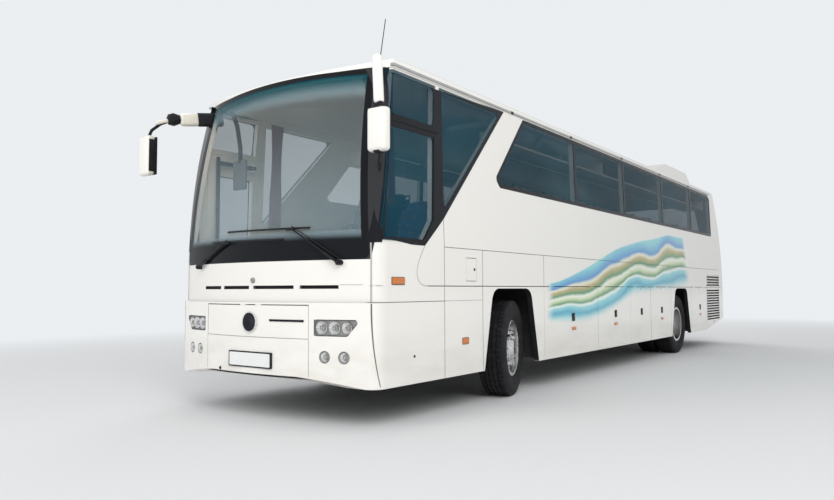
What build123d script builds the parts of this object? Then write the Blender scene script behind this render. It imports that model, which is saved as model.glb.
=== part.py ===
from build123d import *
import os
from math import cos, radians, sin, sqrt

# Coach bus, in millimetres. +Z is up, the front faces -Y, the driver's side is +X.
# The origin is on the ground, under the middle of the whole coach.
# Lengths along the coach are measured from its front and turned into Y by along().

os.makedirs("parts", exist_ok=True)

# Overall sizes
body_length = 12000
body_width = 2550
crown_height = 3300
mirror_reach = 200
mirror_out = 110
wheelbase = 6200
front_overhang = 2480

# Body shell
wall = 60
skirt_bottom = 325
waist_height = 1516
shoulder_height = 3130
shoulder_lean = 50
shoulder_radius = 120
gutter_height = 3040
flap_line = 1159
seam_gap = 8
plan_radius = 3750
corner_radius = 120
front_seam = 225
front_seam_top = 440
rear_seam = body_length - 460
rear_seam_top = body_length - 970
tail_rise_start = body_length - 1670
tail_rise = 220
tail_radius = 3923
tail_straight = 1000
rear_corner_radius = 300
tail_brow_height = 3020
tail_round_height = 3200
tail_round_depth = 160
roof_end = body_length - 1050

# Front face
bumper_bottom = 400
bumper_rise_start = 40
bumper_rise_end = 190
bumper_top = 1020
ledge_depth = 30
screen_bottom = 1372
screen_sill = 1378
screen_top = 3052
screen_corner = 3025
screen_radius = 6026
screen_half_bottom = 1190
screen_half_top = 1075
brow_height = 3060
roof_slope_middle = 990
roof_slope_end = 2200

# Glazing: panes lie flush in a rebate of the wall
glass = 8
glass_seat = 8.3
pane_gap = 12
pane_lap = 45
screen_frame = 60
window_bottom = 2187
window_top = 3025
window_end = body_length - 1040
pane_edges = (4228, 5985, 7801, 9530)

# Clearances
seat_gap = 0.3
move_gap = 6
axial_gap = 0.4
run_gap = 0.05

# Wheels and axles
tyre_radius = 505
tyre_width = 295
bead_radius = 284
rim_width = 228
rim_wall = 20
steer_at_rest = 15
kingpin_x = 920
kingpin_radius = 40
front_wheel_x = 1110
rear_outer_x = 1062
twin_spacing = 330
stub_radius = 50
spindle_radius = 60
housing_inner_x = 560
housing_bottom = 350
housing_wall = 10
arch_top = 1137

# Floors, steps and doors
deck_height = 1250
deck_thickness = 40
cab_height = 950
cab_end = 1800
step_plate = 30
hold_floor = 430
hold_plate = 50
hold_start = 3200
hold_split = 6480
hold_end = 7970
door_bottom = 350
front_door_from = 430
front_door_to = 1150
front_door_top = 2560
middle_door_from = 6550
middle_door_to = 7300
middle_door_top = 2150
door_arm_reach = 480
door_post_inset = 80
door_post_radius = 20
door_pin_radius = 12
first_tread = 380

hinge_radius = 3.8
hinge_length = 80
hinge_inset = 200
rail_x = 520
rail_width = 80
rail_bottom = 800
rail_top = 900

half_width = body_width / 2
mirror_x = half_width + mirror_out
inner_x = half_width - wall
wall_x = (half_width - 175, half_width + 125)
beyond_x = half_width + 225
rear_zone_y = (body_length - 400, body_length + 100)
front_y = (mirror_reach - body_length) / 2
axle_height = tyre_radius
front_axle_at = front_overhang
rear_axle_at = front_overhang + wheelbase
sides = ((1, "left"), (-1, "right"))


def along(distance):
    """Y of a place that many millimetres behind the front."""
    return front_y + distance


def block(x, y, z, mode=Mode.ADD):
    """A box from its low and high X, distance behind the front, and Z."""
    middle = ((x[0] + x[1]) / 2, along((y[0] + y[1]) / 2), (z[0] + z[1]) / 2)
    with Locations(middle):
        Box(x[1] - x[0], y[1] - y[0], z[1] - z[0], mode=mode)


def side_block(side, x, y, z, mode=Mode.ADD):
    """A box whose X range is given on the left side and mirrored for side -1."""
    low, high = sorted((side * x[0], side * x[1]))
    block((low, high), y, z, mode)


def side_prism(side, outline, x, corner=0, mode=Mode.ADD):
    """An outline of (distance behind the front, Z) points, run across X on one side."""
    low, high = sorted((side * x[0], side * x[1]))
    with BuildSketch(Plane.YZ.offset(low)) as profile:
        Polygon(*[(along(y), z) for y, z in outline], align=None)
        if corner:
            fillet(profile.vertices(), corner)
    extrude(profile.sketch, amount=high - low, mode=mode)


def front_prism(outline, y, corner=0, mode=Mode.ADD):
    """An outline of (X, Z) points, run along the coach between two distances."""
    with BuildSketch(Plane.XZ.offset(-along(y[1]))) as profile:
        Polygon(*outline, align=None)
        if corner:
            fillet(profile.vertices(), corner)
    extrude(profile.sketch, amount=y[1] - y[0], mode=mode)


def cylinder_x(radius, x, y, z, mode=Mode.ADD):
    """A cylinder along X between two X values."""
    with BuildSketch(Plane.YZ.offset(x[0])) as profile:
        with Locations((along(y), z)):
            Circle(radius)
    extrude(profile.sketch, amount=x[1] - x[0], mode=mode)


def cylinder_y(radius, x, y, z, mode=Mode.ADD):
    """A cylinder along Y between two distances behind the front."""
    with BuildSketch(Plane.XZ.offset(-along(y[1]))) as profile:
        with Locations((x, z)):
            Circle(radius)
    extrude(profile.sketch, amount=y[1] - y[0], mode=mode)


def cylinder_z(radius, x, y, z, mode=Mode.ADD):
    """A standing cylinder between two heights."""
    with Locations((x, along(y), (z[0] + z[1]) / 2)):
        Cylinder(radius, z[1] - z[0], mode=mode)


def windscreen_y(height):
    """Distance behind the front of the windscreen's middle line at a height."""
    return ledge_depth + screen_radius - sqrt(screen_radius ** 2 - (height - screen_bottom) ** 2)


def tail_lean(height):
    """How far the tail leans forward at a height."""
    return tail_radius - sqrt(tail_radius ** 2 - (height - tail_straight) ** 2)


def envelope(inset):
    """The whole body as a solid, set in from the outer skin."""
    half = half_width - inset
    deep = skirt_bottom - (400 if inset > glass_seat else 0)
    top = crown_height - inset
    high = crown_height + 100
    tail = body_length - inset
    shoulder = (half - shoulder_lean, shoulder_height - inset)
    screen_top_y = along(windscreen_y(high) + inset)
    with BuildPart() as screen_drum:
        with BuildSketch(Plane.YZ):
            with BuildLine():
                panel_y = along(ledge_depth + inset)
                Polyline((along(plan_radius), high), (along(plan_radius), bumper_top),
                         (panel_y, bumper_top), (panel_y, screen_bottom))
                ThreePointArc((panel_y, screen_bottom), (along(windscreen_y(2400) + inset), 2400),
                              (screen_top_y, high))
                Line((screen_top_y, high), (along(plan_radius), high))
            make_face()
        revolve(axis=Axis((0, along(plan_radius), 0), (0, 0, 1)), revolution_arc=360)
        block((-half, half), (-100, plan_radius - 500), (bumper_top, high), Mode.INTERSECT)
        corner_edges = screen_drum.edges().filter_by(
            lambda edge: edge.center().Y < along(900) and edge.bounding_box().size.Z > 20)
        fillet(corner_edges, corner_radius - inset)
    with BuildPart() as lower_nose:
        with BuildSketch(Plane.XY.offset(deep)) as plan:
            corner = along(inset + plan_radius - sqrt(plan_radius ** 2 - half ** 2))
            with BuildLine():
                Polyline((half, corner), (half, along(plan_radius)), (-half, along(plan_radius)), (-half, corner))
                ThreePointArc((-half, corner), (0, along(inset)), (half, corner))
            make_face()
            fillet(plan.vertices().group_by(Axis.Y)[0], corner_radius - inset)
        extrude(amount=bumper_top - deep)
    with BuildPart() as body:
        with BuildSketch(Plane.YZ.offset(-half)):
            with BuildLine():
                Polyline((along(tail), tail_straight), (along(tail), deep), (along(plan_radius - 500), deep),
                         (along(plan_radius - 500), high), (along(tail - tail_lean(high)), high))
                ThreePointArc((along(tail - tail_lean(high)), high), (along(tail - tail_lean(2400)), 2400),
                              (along(tail), tail_straight))
            make_face()
        extrude(amount=2 * half)
        rear_edges = body.edges().filter_by(
            lambda edge: edge.center().Y > along(roof_end) - 450 and edge.bounding_box().size.Z > 20)
        fillet(rear_edges, rear_corner_radius - inset)
        add(lower_nose.part)
        add(screen_drum.part)
        with BuildSketch(Plane.XZ.offset(-along(body_length + 100))) as section:
            with BuildLine():
                Polyline(shoulder, (half, waist_height), (half, deep), (-half, deep), (-half, waist_height),
                         (-shoulder[0], shoulder[1]))
                ThreePointArc((-shoulder[0], shoulder[1]), (0, top), shoulder)
            make_face()
            fillet(section.vertices().group_by(Axis.Y)[-1], shoulder_radius - inset)
        extrude(amount=body_length + 200, mode=Mode.INTERSECT)
        with BuildSketch(Plane.YZ.offset(-2000)):
            with BuildLine():
                brow_z = brow_height - 0.8 * inset
                brow = (along(windscreen_y(brow_z) + inset), brow_z)
                roof_front = (along(roof_slope_end), top)
                roof_back = (along(roof_end), top)
                tail_brow = (along(tail - tail_lean(tail_brow_height)), tail_brow_height)
                Polyline((along(-200), brow_z), (along(-200), bumper_bottom),
                         (along(bumper_rise_start + inset), bumper_bottom), (along(bumper_rise_end + inset), deep),
                         (along(tail_rise_start), deep), (along(tail - 100), deep + tail_rise),
                         (along(tail + 60), 720), (along(tail + 60), tail_brow_height), tail_brow)
                ThreePointArc(tail_brow, (tail_brow[0] - tail_round_depth, tail_round_height - inset * 0.7),
                              roof_back)
                Line(roof_back, roof_front)
                slope_middle = (along(roof_slope_middle), (brow_height + crown_height) / 2 - inset)
                ThreePointArc(roof_front, slope_middle, brow)
                Line(brow, (along(-200), brow_z))
            make_face()
        extrude(amount=4000, mode=Mode.INTERSECT)
    return body.part


def rod(start, end, radius):
    """A round bar between two points given as (X, distance behind the front, Z)."""
    low = Vector(start[0], along(start[1]), start[2])
    high = Vector(end[0], along(end[1]), end[2])
    with BuildSketch(Plane(origin=low, z_dir=high - low)) as profile:
        Circle(radius)
    extrude(profile.sketch, amount=(high - low).length)
    with Locations(high):
        Sphere(radius)


def hinge_spots(low, high):
    """The middles of a lid's two hinges, near the ends of its edge."""
    return low + hinge_inset, high - hinge_inset


def side_hinge_eyes(side, low, high):
    """Hinge eyes on the top edge of a side flap, on its turning axis."""
    for spot in hinge_spots(low, high):
        cylinder_y(hinge_radius, side * half_width, (spot - hinge_length / 2, spot + hinge_length / 2), flap_line)
        side_block(side, (half_width - hinge_radius, half_width),
                   (spot - hinge_length / 2, spot + hinge_length / 2), (flap_line - 9, flap_line))


def side_hinge_lugs(side, low, high):
    """The wall's lugs at both ends of each hinge eye of a side flap."""
    for spot in hinge_spots(low, high):
        for turn in (-1, 1):
            near = spot + turn * (hinge_length / 2 + axial_gap)
            span = sorted((near, near + turn * 20))
            cylinder_y(hinge_radius, side * half_width, span, flap_line)
            side_block(side, (half_width - hinge_radius, half_width), span, (flap_line, flap_line + 9))


outer_body = envelope(0)
inner_body = envelope(wall)
glass_back = envelope(glass)
glass_bed = envelope(glass_seat)
clear_inside = envelope(wall + seat_gap)
clear_outside = envelope(-seat_gap)

with BuildPart() as shell:
    add(outer_body)
    add(inner_body, mode=Mode.SUBTRACT)

# Side flaps: name, side, start and end behind the front
left_flaps = (
    ("left_luggage_flap_1", 3219, 4823),
    ("left_luggage_flap_2", 4823, 6073),
    ("left_luggage_flap_3", 6073, 7001),
    ("left_luggage_flap_4", 7001, 8060),
    ("left_service_flap", 9300, 10380),
)
right_flaps = (
    ("right_luggage_flap_1", 3219, 4823),
    ("right_luggage_flap_2", 4823, 6500),
    ("right_service_flap", 9300, 10380),
)
flaps_of = {1: left_flaps, -1: right_flaps}

# Doors on the right side: start and end behind the front, top
door_openings = (
    (front_door_from, front_door_to, front_door_top),
    (middle_door_from, middle_door_to, middle_door_top),
)

# Wheel arches in the skirts: axle, half width on the ground and at the arch's top,
# half length of the housing behind it, half width of the slot that the axle passes through
arches = (
    (front_axle_at, 665, 415, 650, 85),
    (rear_axle_at, 655, 350, 610, 95),
)

lower_top = flap_line - seam_gap / 2
upper_bottom = flap_line + seam_gap / 2


def front_zone(z, mode=Mode.ADD):
    """The nose, cut off by a plane that leans back with the windscreen."""
    outline = [(-150, z[0]), (front_seam, z[0])]
    if z[1] > screen_bottom:
        outline.append((front_seam, screen_bottom))
    outline += [(front_seam_top if z[1] > screen_bottom else front_seam, z[1]), (-150, z[1])]
    side_prism(1, outline, (-half_width - 50, half_width + 50), mode=mode)


def rear_zone(z, mode=Mode.ADD):
    """The tail, cut off by a plane that leans forward with the rear window."""
    outline = ((rear_seam, z[0]), (rear_seam, waist_height), (rear_seam_top, z[1]), (body_length + 200, z[1]),
               (body_length + 200, z[0]))
    side_prism(1, outline, (-half_width - 50, half_width + 50), mode=mode)


def screen_outline(inset):
    """The windscreen's outline seen from the front, as a face that can be extruded."""
    bottom = screen_half_bottom - inset
    top = screen_half_top - inset
    with BuildSketch(Plane.XZ.offset(-along(700))) as outline:
        with BuildLine() as edge:
            corner = screen_corner - inset
            sill = screen_sill + inset
            Polyline((top, corner), (bottom, sill), (-bottom, sill), (-top, corner))
            ThreePointArc((-top, corner), (0, screen_top - inset), (top, corner))
        make_face(edge.line)
        fillet(outline.vertices(), 60)
    return outline.sketch


# Glazing outlines seen from the side: distance behind the front, Z
band = ((2255, window_bottom), (window_end, window_bottom), (window_end, window_top - 75),
        (window_end - 130, window_top), (2835, window_top), (2190, 2300), (2190, window_bottom + 70))
cab_zone = ((245, 1512), (875, 1512), (1180, 1770), (2400, window_top), (445, window_top))
driver_pane = ((262, 1536), (865, 1536), (1030, 1745), (1075, 2535), (395, 2535))
quarter_pane = ((400, 2590), (1085, 2590), (1110, window_top - 20), (455, window_top - 20))
rear_tri_pane = ((1160, 1772), (2375, window_top - 20), (1180, window_top - 20))
pane_ends = (2000,) + pane_edges + (window_end + 100,)


def band_pane(side, low, high, inset, x, mode=Mode.ADD):
    """One pane's share of the window band, between two dividers."""
    low_x, high_x = sorted((side * x[0], side * x[1]))
    with BuildSketch(Plane.YZ.offset(low_x)) as profile:
        Polygon(*[(along(y), z) for y, z in band], align=None)
        fillet(profile.vertices(), 45)
        offset(amount=-inset)
        with Locations((along((low + high) / 2), 2600)):
            Rectangle(high - low, 2000, mode=Mode.INTERSECT)
    extrude(profile.sketch, amount=high_x - low_x, mode=mode)


def grown_prism(side, outline, x, corner, inset, mode=Mode.ADD):
    """A side outline with rounded corners, made smaller all round by an inset."""
    low, high = sorted((side * x[0], side * x[1]))
    with BuildSketch(Plane.YZ.offset(low)) as profile:
        Polygon(*[(along(y), z) for y, z in outline], align=None)
        if corner:
            fillet(profile.vertices(), corner)
        if inset:
            offset(amount=-inset, kind=Kind.INTERSECTION)
    extrude(profile.sketch, amount=high - low, mode=mode)


with BuildPart() as screen_bed:
    extrude(screen_outline(-seat_gap), amount=900)
    front_zone((bumper_top, crown_height + 50), Mode.INTERSECT)
    add(glass_bed, mode=Mode.SUBTRACT)


def cut_windscreen():
    """The glass's bed and the opening behind it."""
    add(screen_bed.part, mode=Mode.SUBTRACT)
    extrude(screen_outline(screen_frame), amount=900, mode=Mode.SUBTRACT)


# Roof with its two hatch frames
hatch_half = 350
hatch_spots = (3300, 6200)
hatch_frame = 40
hatch_frame_top = 3308
lid_bottom = hatch_frame_top + move_gap
lid_thickness = 26
lid_hinge = hatch_half + 12 + 14
with BuildPart() as roof:
    add(shell.part)
    block((-beyond_x, beyond_x), (-300, body_length + 100), (gutter_height, 3500), Mode.INTERSECT)
    for spot in hatch_spots:
        block((-hatch_half, hatch_half), (spot - hatch_half, spot + hatch_half), (3260, hatch_frame_top))
        opening = hatch_half - hatch_frame
        block((-opening, opening), (spot - opening, spot + opening), (3100, 3400), Mode.SUBTRACT)
        for side, word in sides:
            cylinder_x(8, sorted((side * 160, side * 200)), spot + lid_hinge, lid_bottom + 8)
            side_block(side, (160, 200), (spot + lid_hinge - 2, spot + lid_hinge + 8), (3250, lid_bottom + 8))
    cut_windscreen()
roof.part.label = "roof"
export_step(roof.part, "parts/roof.step")

# Roof hatches, lids on hinges at their rear edge
for spot, name in zip(hatch_spots, ("front_roof_hatch", "rear_roof_hatch")):
    with BuildPart() as roof_hatch:
        lid = hatch_half + 12
        block((-lid, lid), (spot - lid, spot + lid), (lid_bottom, lid_bottom + lid_thickness))
        fillet(roof_hatch.edges().filter_by(Axis.Z), 40)
        for side, word in sides:
            cylinder_x(8, sorted((side * (200 + axial_gap), side * 260)), spot + lid_hinge, lid_bottom + 8)
            side_block(side, (200 + axial_gap, 260), (spot + lid - 5, spot + lid_hinge),
                       (lid_bottom, lid_bottom + 16))
    roof_hatch.part.label = name
    export_step(roof_hatch.part, f"parts/{name}.step")

# Windscreen
with BuildPart() as windscreen:
    extrude(screen_outline(0), amount=900)
    front_zone((bumper_top, crown_height + 50), Mode.INTERSECT)
    add(outer_body, mode=Mode.INTERSECT)
    add(glass_back, mode=Mode.SUBTRACT)
windscreen.part.label = "windscreen"
export_step(windscreen.part, "parts/windscreen.step")

# Front panel with the windscreen's posts, the air slots and the screen's lower edge
slots = ((-772, -480), (-429, -55), (-2, 479), (540, 919))
slot_height = (1136, 1166)
with BuildPart() as front_panel:
    add(shell.part)
    front_zone((bumper_top, gutter_height), Mode.INTERSECT)
    cut_windscreen()
    for low, high in slots:
        block((low, high), (-50, 300), slot_height, Mode.SUBTRACT)
front_panel.part.label = "front_panel"
export_step(front_panel.part, "parts/front_panel.step")

# Front bumper: the lower nose, with places for the lamps and the middle flap
flap_half = 663
flap_low = 714
flap_high = 1003
front_hinge_z = flap_high - 4
headlamp = ((714, 745), (1020, 745), (1135, 882), (714, 882))
fog_spots = (815, 990)
fog_height = 574
fog_radius = 46
lamp_depth = 45
lamp_back = envelope(lamp_depth)
lamp_bed = envelope(lamp_depth + seat_gap)


def lamp_prisms(grow):
    """Both headlamps and the four fog lamps, run along the coach."""
    for side, word in sides:
        for spot in fog_spots:
            cylinder_y(fog_radius + grow, side * spot, (-100, 500), fog_height)
        with BuildSketch(Plane.XZ.offset(-along(500))) as profile:
            Polygon(*[(side * x, z) for x, z in headlamp], align=None)
            fillet(profile.vertices(), 25)
            if grow:
                offset(amount=grow)
        extrude(profile.sketch, amount=600)


tail_low = 860
tail_high = 1420
tail_from = 1010
tail_to = 1200

with BuildPart() as lamp_holes:
    lamp_prisms(seat_gap)
    for side, word in sides:
        side_block(side, (tail_from - seat_gap, tail_to + seat_gap), rear_zone_y,
                   (tail_low - seat_gap, tail_high + seat_gap))
    add(lamp_bed, mode=Mode.SUBTRACT)

with BuildPart() as lamps:
    lamp_prisms(0)
    for side, word in sides:
        side_block(side, (tail_from, tail_to), rear_zone_y, (tail_low, tail_high))
    add(outer_body, mode=Mode.INTERSECT)
    add(lamp_back, mode=Mode.SUBTRACT)
lamps.part.label = "lamps"
export_step(lamps.part, "parts/lamps.step")

with BuildPart() as front_bumper:
    add(shell.part)
    front_zone((0, bumper_top), Mode.INTERSECT)
    add(lamp_holes.part, mode=Mode.SUBTRACT)
    block((-flap_half, flap_half), (-50, 400), (flap_low, flap_high), Mode.SUBTRACT)
    for spot in (-100, 100):
        for turn in (-1, 1):
            near = spot + turn * (20 + axial_gap)
            span = sorted((near, near + turn * 15))
            cylinder_x(hinge_radius, span, hinge_radius, front_hinge_z)
            block(span, (0, 40), (front_hinge_z, flap_high + 5))
front_bumper.part.label = "front_bumper"
export_step(front_bumper.part, "parts/front_bumper.step")

with BuildPart() as front_flap:
    add(shell.part)
    block((-flap_half + move_gap, flap_half - move_gap), (-50, 400), (flap_low + move_gap, front_hinge_z - 4),
          Mode.INTERSECT)
    for spot in (-100, 100):
        cylinder_x(hinge_radius, (spot - 20, spot + 20), hinge_radius, front_hinge_z)
        block((spot - 20, spot + 20), (0, hinge_radius), (front_hinge_z - 9, front_hinge_z))
front_flap.part.label = "front_flap"
export_step(front_flap.part, "parts/front_flap.step")

# Side windows: the bed holds the panes flush, the openings behind are smaller
with BuildPart() as window_beds:
    for side, word in sides:
        band_pane(side, 1900, window_end + 200, -seat_gap, wall_x)
        grown_prism(side, cab_zone, wall_x, 0, -seat_gap)
    add(glass_bed, mode=Mode.SUBTRACT)


def cut_windows(side):
    """Every window opening of one side wall, and the bed of its glass."""
    add(window_beds.part, mode=Mode.SUBTRACT)
    for low, high in zip(pane_ends, pane_ends[1:]):
        lap_low = low + pane_lap if low > 2000 else low
        band_pane(side, lap_low, high - pane_lap, pane_lap, wall_x, Mode.SUBTRACT)
    panes = (driver_pane, quarter_pane, rear_tri_pane) if side > 0 else (quarter_pane, rear_tri_pane)
    for outline in panes:
        grown_prism(side, outline, wall_x, 0, 25, Mode.SUBTRACT)


with BuildPart() as side_windows:
    for side, word in sides:
        for low, high in zip(pane_ends, pane_ends[1:]):
            low_gap = pane_gap / 2 if low > 2000 else 0
            band_pane(side, low + low_gap, high - pane_gap / 2, 0, wall_x)
        panes = (driver_pane, quarter_pane, rear_tri_pane) if side > 0 else (quarter_pane, rear_tri_pane)
        for outline in panes:
            grown_prism(side, outline, wall_x, 0, 0)
    add(outer_body, mode=Mode.INTERSECT)
    add(glass_back, mode=Mode.SUBTRACT)
side_windows.part.label = "side_windows"
export_step(side_windows.part, "parts/side_windows.step")

# Side walls
fuel_from = 1550
fuel_to = 1745
fuel_low = 1205
fuel_high = 1433
fuel_flap_thickness = 18
fuel_pocket = 50
fuel_hinge = fuel_from + 3
fuel_spots = (1260, 1380)
for side, word in sides:
    with BuildPart() as side_wall:
        add(shell.part)
        side_block(side, (0, 2000), (0, body_length), (upper_bottom, gutter_height), Mode.INTERSECT)
        front_zone((bumper_top, gutter_height), Mode.SUBTRACT)
        rear_zone((bumper_top, gutter_height), Mode.SUBTRACT)
        cut_windows(side)
        for name, low, high in flaps_of[side]:
            side_hinge_lugs(side, low, high)
        if side < 0:
            for low, high, top in door_openings:
                side_block(side, wall_x, (low, high), (0, top), Mode.SUBTRACT)
        else:
            side_block(side, (half_width - fuel_pocket, wall_x[1]), (fuel_from, fuel_to), (fuel_low, fuel_high),
                       Mode.SUBTRACT)
            cylinder_x(42, (half_width - fuel_pocket - 2, half_width - fuel_flap_thickness - 8), 1650, 1320)
            for spot in fuel_spots:
                for turn in (-1, 1):
                    near = spot + turn * (15 + axial_gap)
                    span = sorted((near, near + turn * 8))
                    cylinder_z(hinge_radius - 1, half_width, fuel_hinge, span)
                    block((half_width - hinge_radius, half_width), (fuel_from - 5, fuel_hinge), span)
    side_wall.part.label = f"{word}_side_wall"
    export_step(side_wall.part, f"parts/{word}_side_wall.step")

with BuildPart() as fuel_flap:
    side_block(1, (half_width - fuel_flap_thickness, half_width), (fuel_hinge + 3, fuel_to - move_gap),
               (fuel_low + move_gap, fuel_high - move_gap))
    for spot in fuel_spots:
        cylinder_z(hinge_radius - 1, half_width, fuel_hinge, (spot - 15, spot + 15))
        block((half_width - hinge_radius, half_width), (fuel_hinge, fuel_hinge + 5), (spot - 15, spot + 15))
fuel_flap.part.label = "fuel_flap"
export_step(fuel_flap.part, "parts/fuel_flap.step")

# Skirts: the fixed lower panels, with wheel arches and the rear grilles
grille_from = body_length - 1560
grille_to = body_length - 590
grille_low = 515
grille_high = 1130
grille_count = 12
with BuildPart() as skirts:
    add(shell.part)
    block((-inner_x, inner_x), (300, rear_seam), (0, lower_top), Mode.SUBTRACT)
    block((-beyond_x, beyond_x), (0, rear_seam), (0, lower_top), Mode.INTERSECT)
    front_zone((0, crown_height), Mode.SUBTRACT)
    for side, word in sides:
        for axle, bottom, top, housing, slot in arches:
            side_prism(side, ((axle - bottom, 0), (axle + bottom, 0), (axle + top, arch_top),
                              (axle - top, arch_top)), wall_x, 150, Mode.SUBTRACT)
        for name, low, high in flaps_of[side]:
            side_block(side, wall_x, (low, high), (0, 1300), Mode.SUBTRACT)
        pitch = (grille_high - grille_low) / grille_count
        for row in range(grille_count):
            low = grille_low + row * pitch
            side_block(side, wall_x, (grille_from, grille_to), (low, low + pitch * 0.55), Mode.SUBTRACT)
    for low, high, top in door_openings:
        side_block(-1, wall_x, (low, high), (0, 1300), Mode.SUBTRACT)
skirts.part.label = "skirts"
export_step(skirts.part, "parts/skirts.step")

# Side flaps
for side, word in sides:
    for name, low, high in flaps_of[side]:
        with BuildPart() as side_flap:
            add(shell.part)
            side_block(side, wall_x, (low + seam_gap / 2, high - seam_gap / 2), (0, lower_top), Mode.INTERSECT)
            side_hinge_eyes(side, low, high)
        side_flap.part.label = name
        export_step(side_flap.part, f"parts/{name}.step")

# Rear end
rear_split = 760
engine_door_half = 700
engine_low = 768
engine_high = 1504
engine_hinge_z = engine_high - 4
engine_hinge_at = body_length - hinge_radius
rear_glass_half = 900
rear_glass_low = 2230
rear_glass_high = 2930


def rear_glass_prism(inset, mode=Mode.ADD):
    """The rear window's outline, run through the rear wall."""
    half = rear_glass_half - inset
    outline = ((-half, rear_glass_low + inset), (half, rear_glass_low + inset), (half - 60, rear_glass_high - inset),
               (-half + 60, rear_glass_high - inset))
    front_prism(outline, (rear_seam_top - 30, body_length + 200), 60, mode)


with BuildPart() as rear_glass_bed:
    rear_glass_prism(-seat_gap)
    add(glass_bed, mode=Mode.SUBTRACT)

with BuildPart() as rear_panel:
    add(shell.part)
    rear_zone((rear_split, gutter_height), Mode.INTERSECT)
    add(rear_glass_bed.part, mode=Mode.SUBTRACT)
    rear_glass_prism(55, Mode.SUBTRACT)
    add(lamp_holes.part, mode=Mode.SUBTRACT)
    block((-engine_door_half, engine_door_half), rear_zone_y, (engine_low - 100, engine_high), Mode.SUBTRACT)
    for spot in (-400, 400):
        for turn in (-1, 1):
            near = spot + turn * (30 + axial_gap)
            span = sorted((near, near + turn * 15))
            cylinder_x(hinge_radius, span, engine_hinge_at, engine_hinge_z)
            block(span, (engine_hinge_at - 40, engine_hinge_at), (engine_hinge_z, engine_high + 8))
rear_panel.part.label = "rear_panel"
export_step(rear_panel.part, "parts/rear_panel.step")

with BuildPart() as rear_window:
    rear_glass_prism(0)
    add(outer_body, mode=Mode.INTERSECT)
    add(glass_back, mode=Mode.SUBTRACT)
rear_window.part.label = "rear_window"
export_step(rear_window.part, "parts/rear_window.step")

with BuildPart() as rear_bumper:
    add(shell.part)
    block((-beyond_x, beyond_x), (rear_seam, body_length + 50), (0, rear_split), Mode.INTERSECT)
rear_bumper.part.label = "rear_bumper"
export_step(rear_bumper.part, "parts/rear_bumper.step")

with BuildPart() as engine_door:
    add(shell.part)
    block((-engine_door_half + move_gap, engine_door_half - move_gap), rear_zone_y,
          (engine_low, engine_hinge_z - 4), Mode.INTERSECT)
    for spot in (-400, 400):
        cylinder_x(hinge_radius, (spot - 30, spot + 30), engine_hinge_at, engine_hinge_z)
        block((spot - 30, spot + 30), (engine_hinge_at - 30, engine_hinge_at),
              (engine_hinge_z - 12, engine_hinge_z))
engine_door.part.label = "engine_door"
export_step(engine_door.part, "parts/engine_door.step")

# Floor: main deck, lower cab floor, and steps at both doors
front_steps = 3
middle_steps = 4
cab_step = 300
step_board = 15
well_from = middle_door_from
well_to = middle_door_to
well_x = 500
deck_bottom = deck_height - deck_thickness
cab_bottom = cab_height - deck_thickness
stair_x = inner_x - 10
stair_lap = 5
cab_floor_x = stair_x - front_steps * cab_step - stair_lap
deck_end = body_length - 700


def stairs(y, tread, rise, count):
    """Steps that rise from the right side towards the middle, each a tread and a riser."""
    for step in range(count):
        top = first_tread + step * rise
        outer = -stair_x + step * tread
        block((outer, outer + tread + step_plate), y, (top - step_plate, top))
        block((outer + tread, outer + tread + step_plate), y, (top - step_plate, top + rise - step_plate))


with BuildPart() as floor_deck:
    block((-inner_x, inner_x), (cab_end, deck_end), (deck_bottom, deck_height))
    block((-inner_x, -well_x), (well_from, well_to), (deck_bottom, deck_height), Mode.SUBTRACT)
    block((-cab_floor_x, 1150), (330, cab_end), (cab_bottom, cab_height))
    block((-stair_x, -cab_floor_x), (front_door_to + 15, cab_end), (cab_bottom, cab_height))
    block((-stair_x, stair_x), (cab_end - 40, cab_end), (cab_bottom, deck_bottom + 5))
    block((-260, 220), (cab_end - 340, cab_end - 40), (cab_height, (cab_height + deck_height) / 2))
    stairs((front_door_from, front_door_to), cab_step, (cab_height - first_tread) / front_steps, front_steps)
    stairs((well_from, well_to), (stair_x - well_x) / middle_steps,
           (deck_height - first_tread) / middle_steps, middle_steps)
    for low, x_end, top in ((front_door_from - step_board, cab_floor_x, cab_height),
                            (front_door_to, cab_floor_x, cab_height),
                            (well_from - step_board, well_x, deck_bottom), (well_to, well_x, deck_bottom)):
        block((-inner_x, step_plate - x_end), (low, low + step_board), (first_tread - step_plate, top))
floor_deck.part.label = "floor_deck"
export_step(floor_deck.part, "parts/floor_deck.step")

# Luggage hold: floor, end walls and the wall beside the middle steps
hold_x = inner_x - move_gap
hold_wall = 30
with BuildPart() as luggage_hold:
    block((-hold_x, hold_x), (hold_start, hold_split), (hold_floor - hold_plate, hold_floor))
    block((-450, hold_x), (hold_split, hold_end), (hold_floor - hold_plate, hold_floor))
    block((-hold_x, hold_x), (hold_start, hold_start + hold_wall), (hold_floor, deck_bottom))
    block((-hold_x, -420), (hold_split - hold_wall, hold_split), (hold_floor, deck_bottom))
    block((-450, -420), (hold_split, hold_end), (hold_floor, deck_bottom))
    block((-hold_x, hold_x), (hold_end - hold_wall, hold_end), (hold_floor, deck_bottom))
luggage_hold.part.label = "luggage_hold"
export_step(luggage_hold.part, "parts/luggage_hold.step")

# Underframe: rails before and behind the hold, cross members, posts and brackets
frame_post = 60
cab_rail_start = 1260
rear_rail_end = body_length - 500
engine_half = 430
engine_from = body_length - 1700
engine_to = body_length - 580
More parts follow.
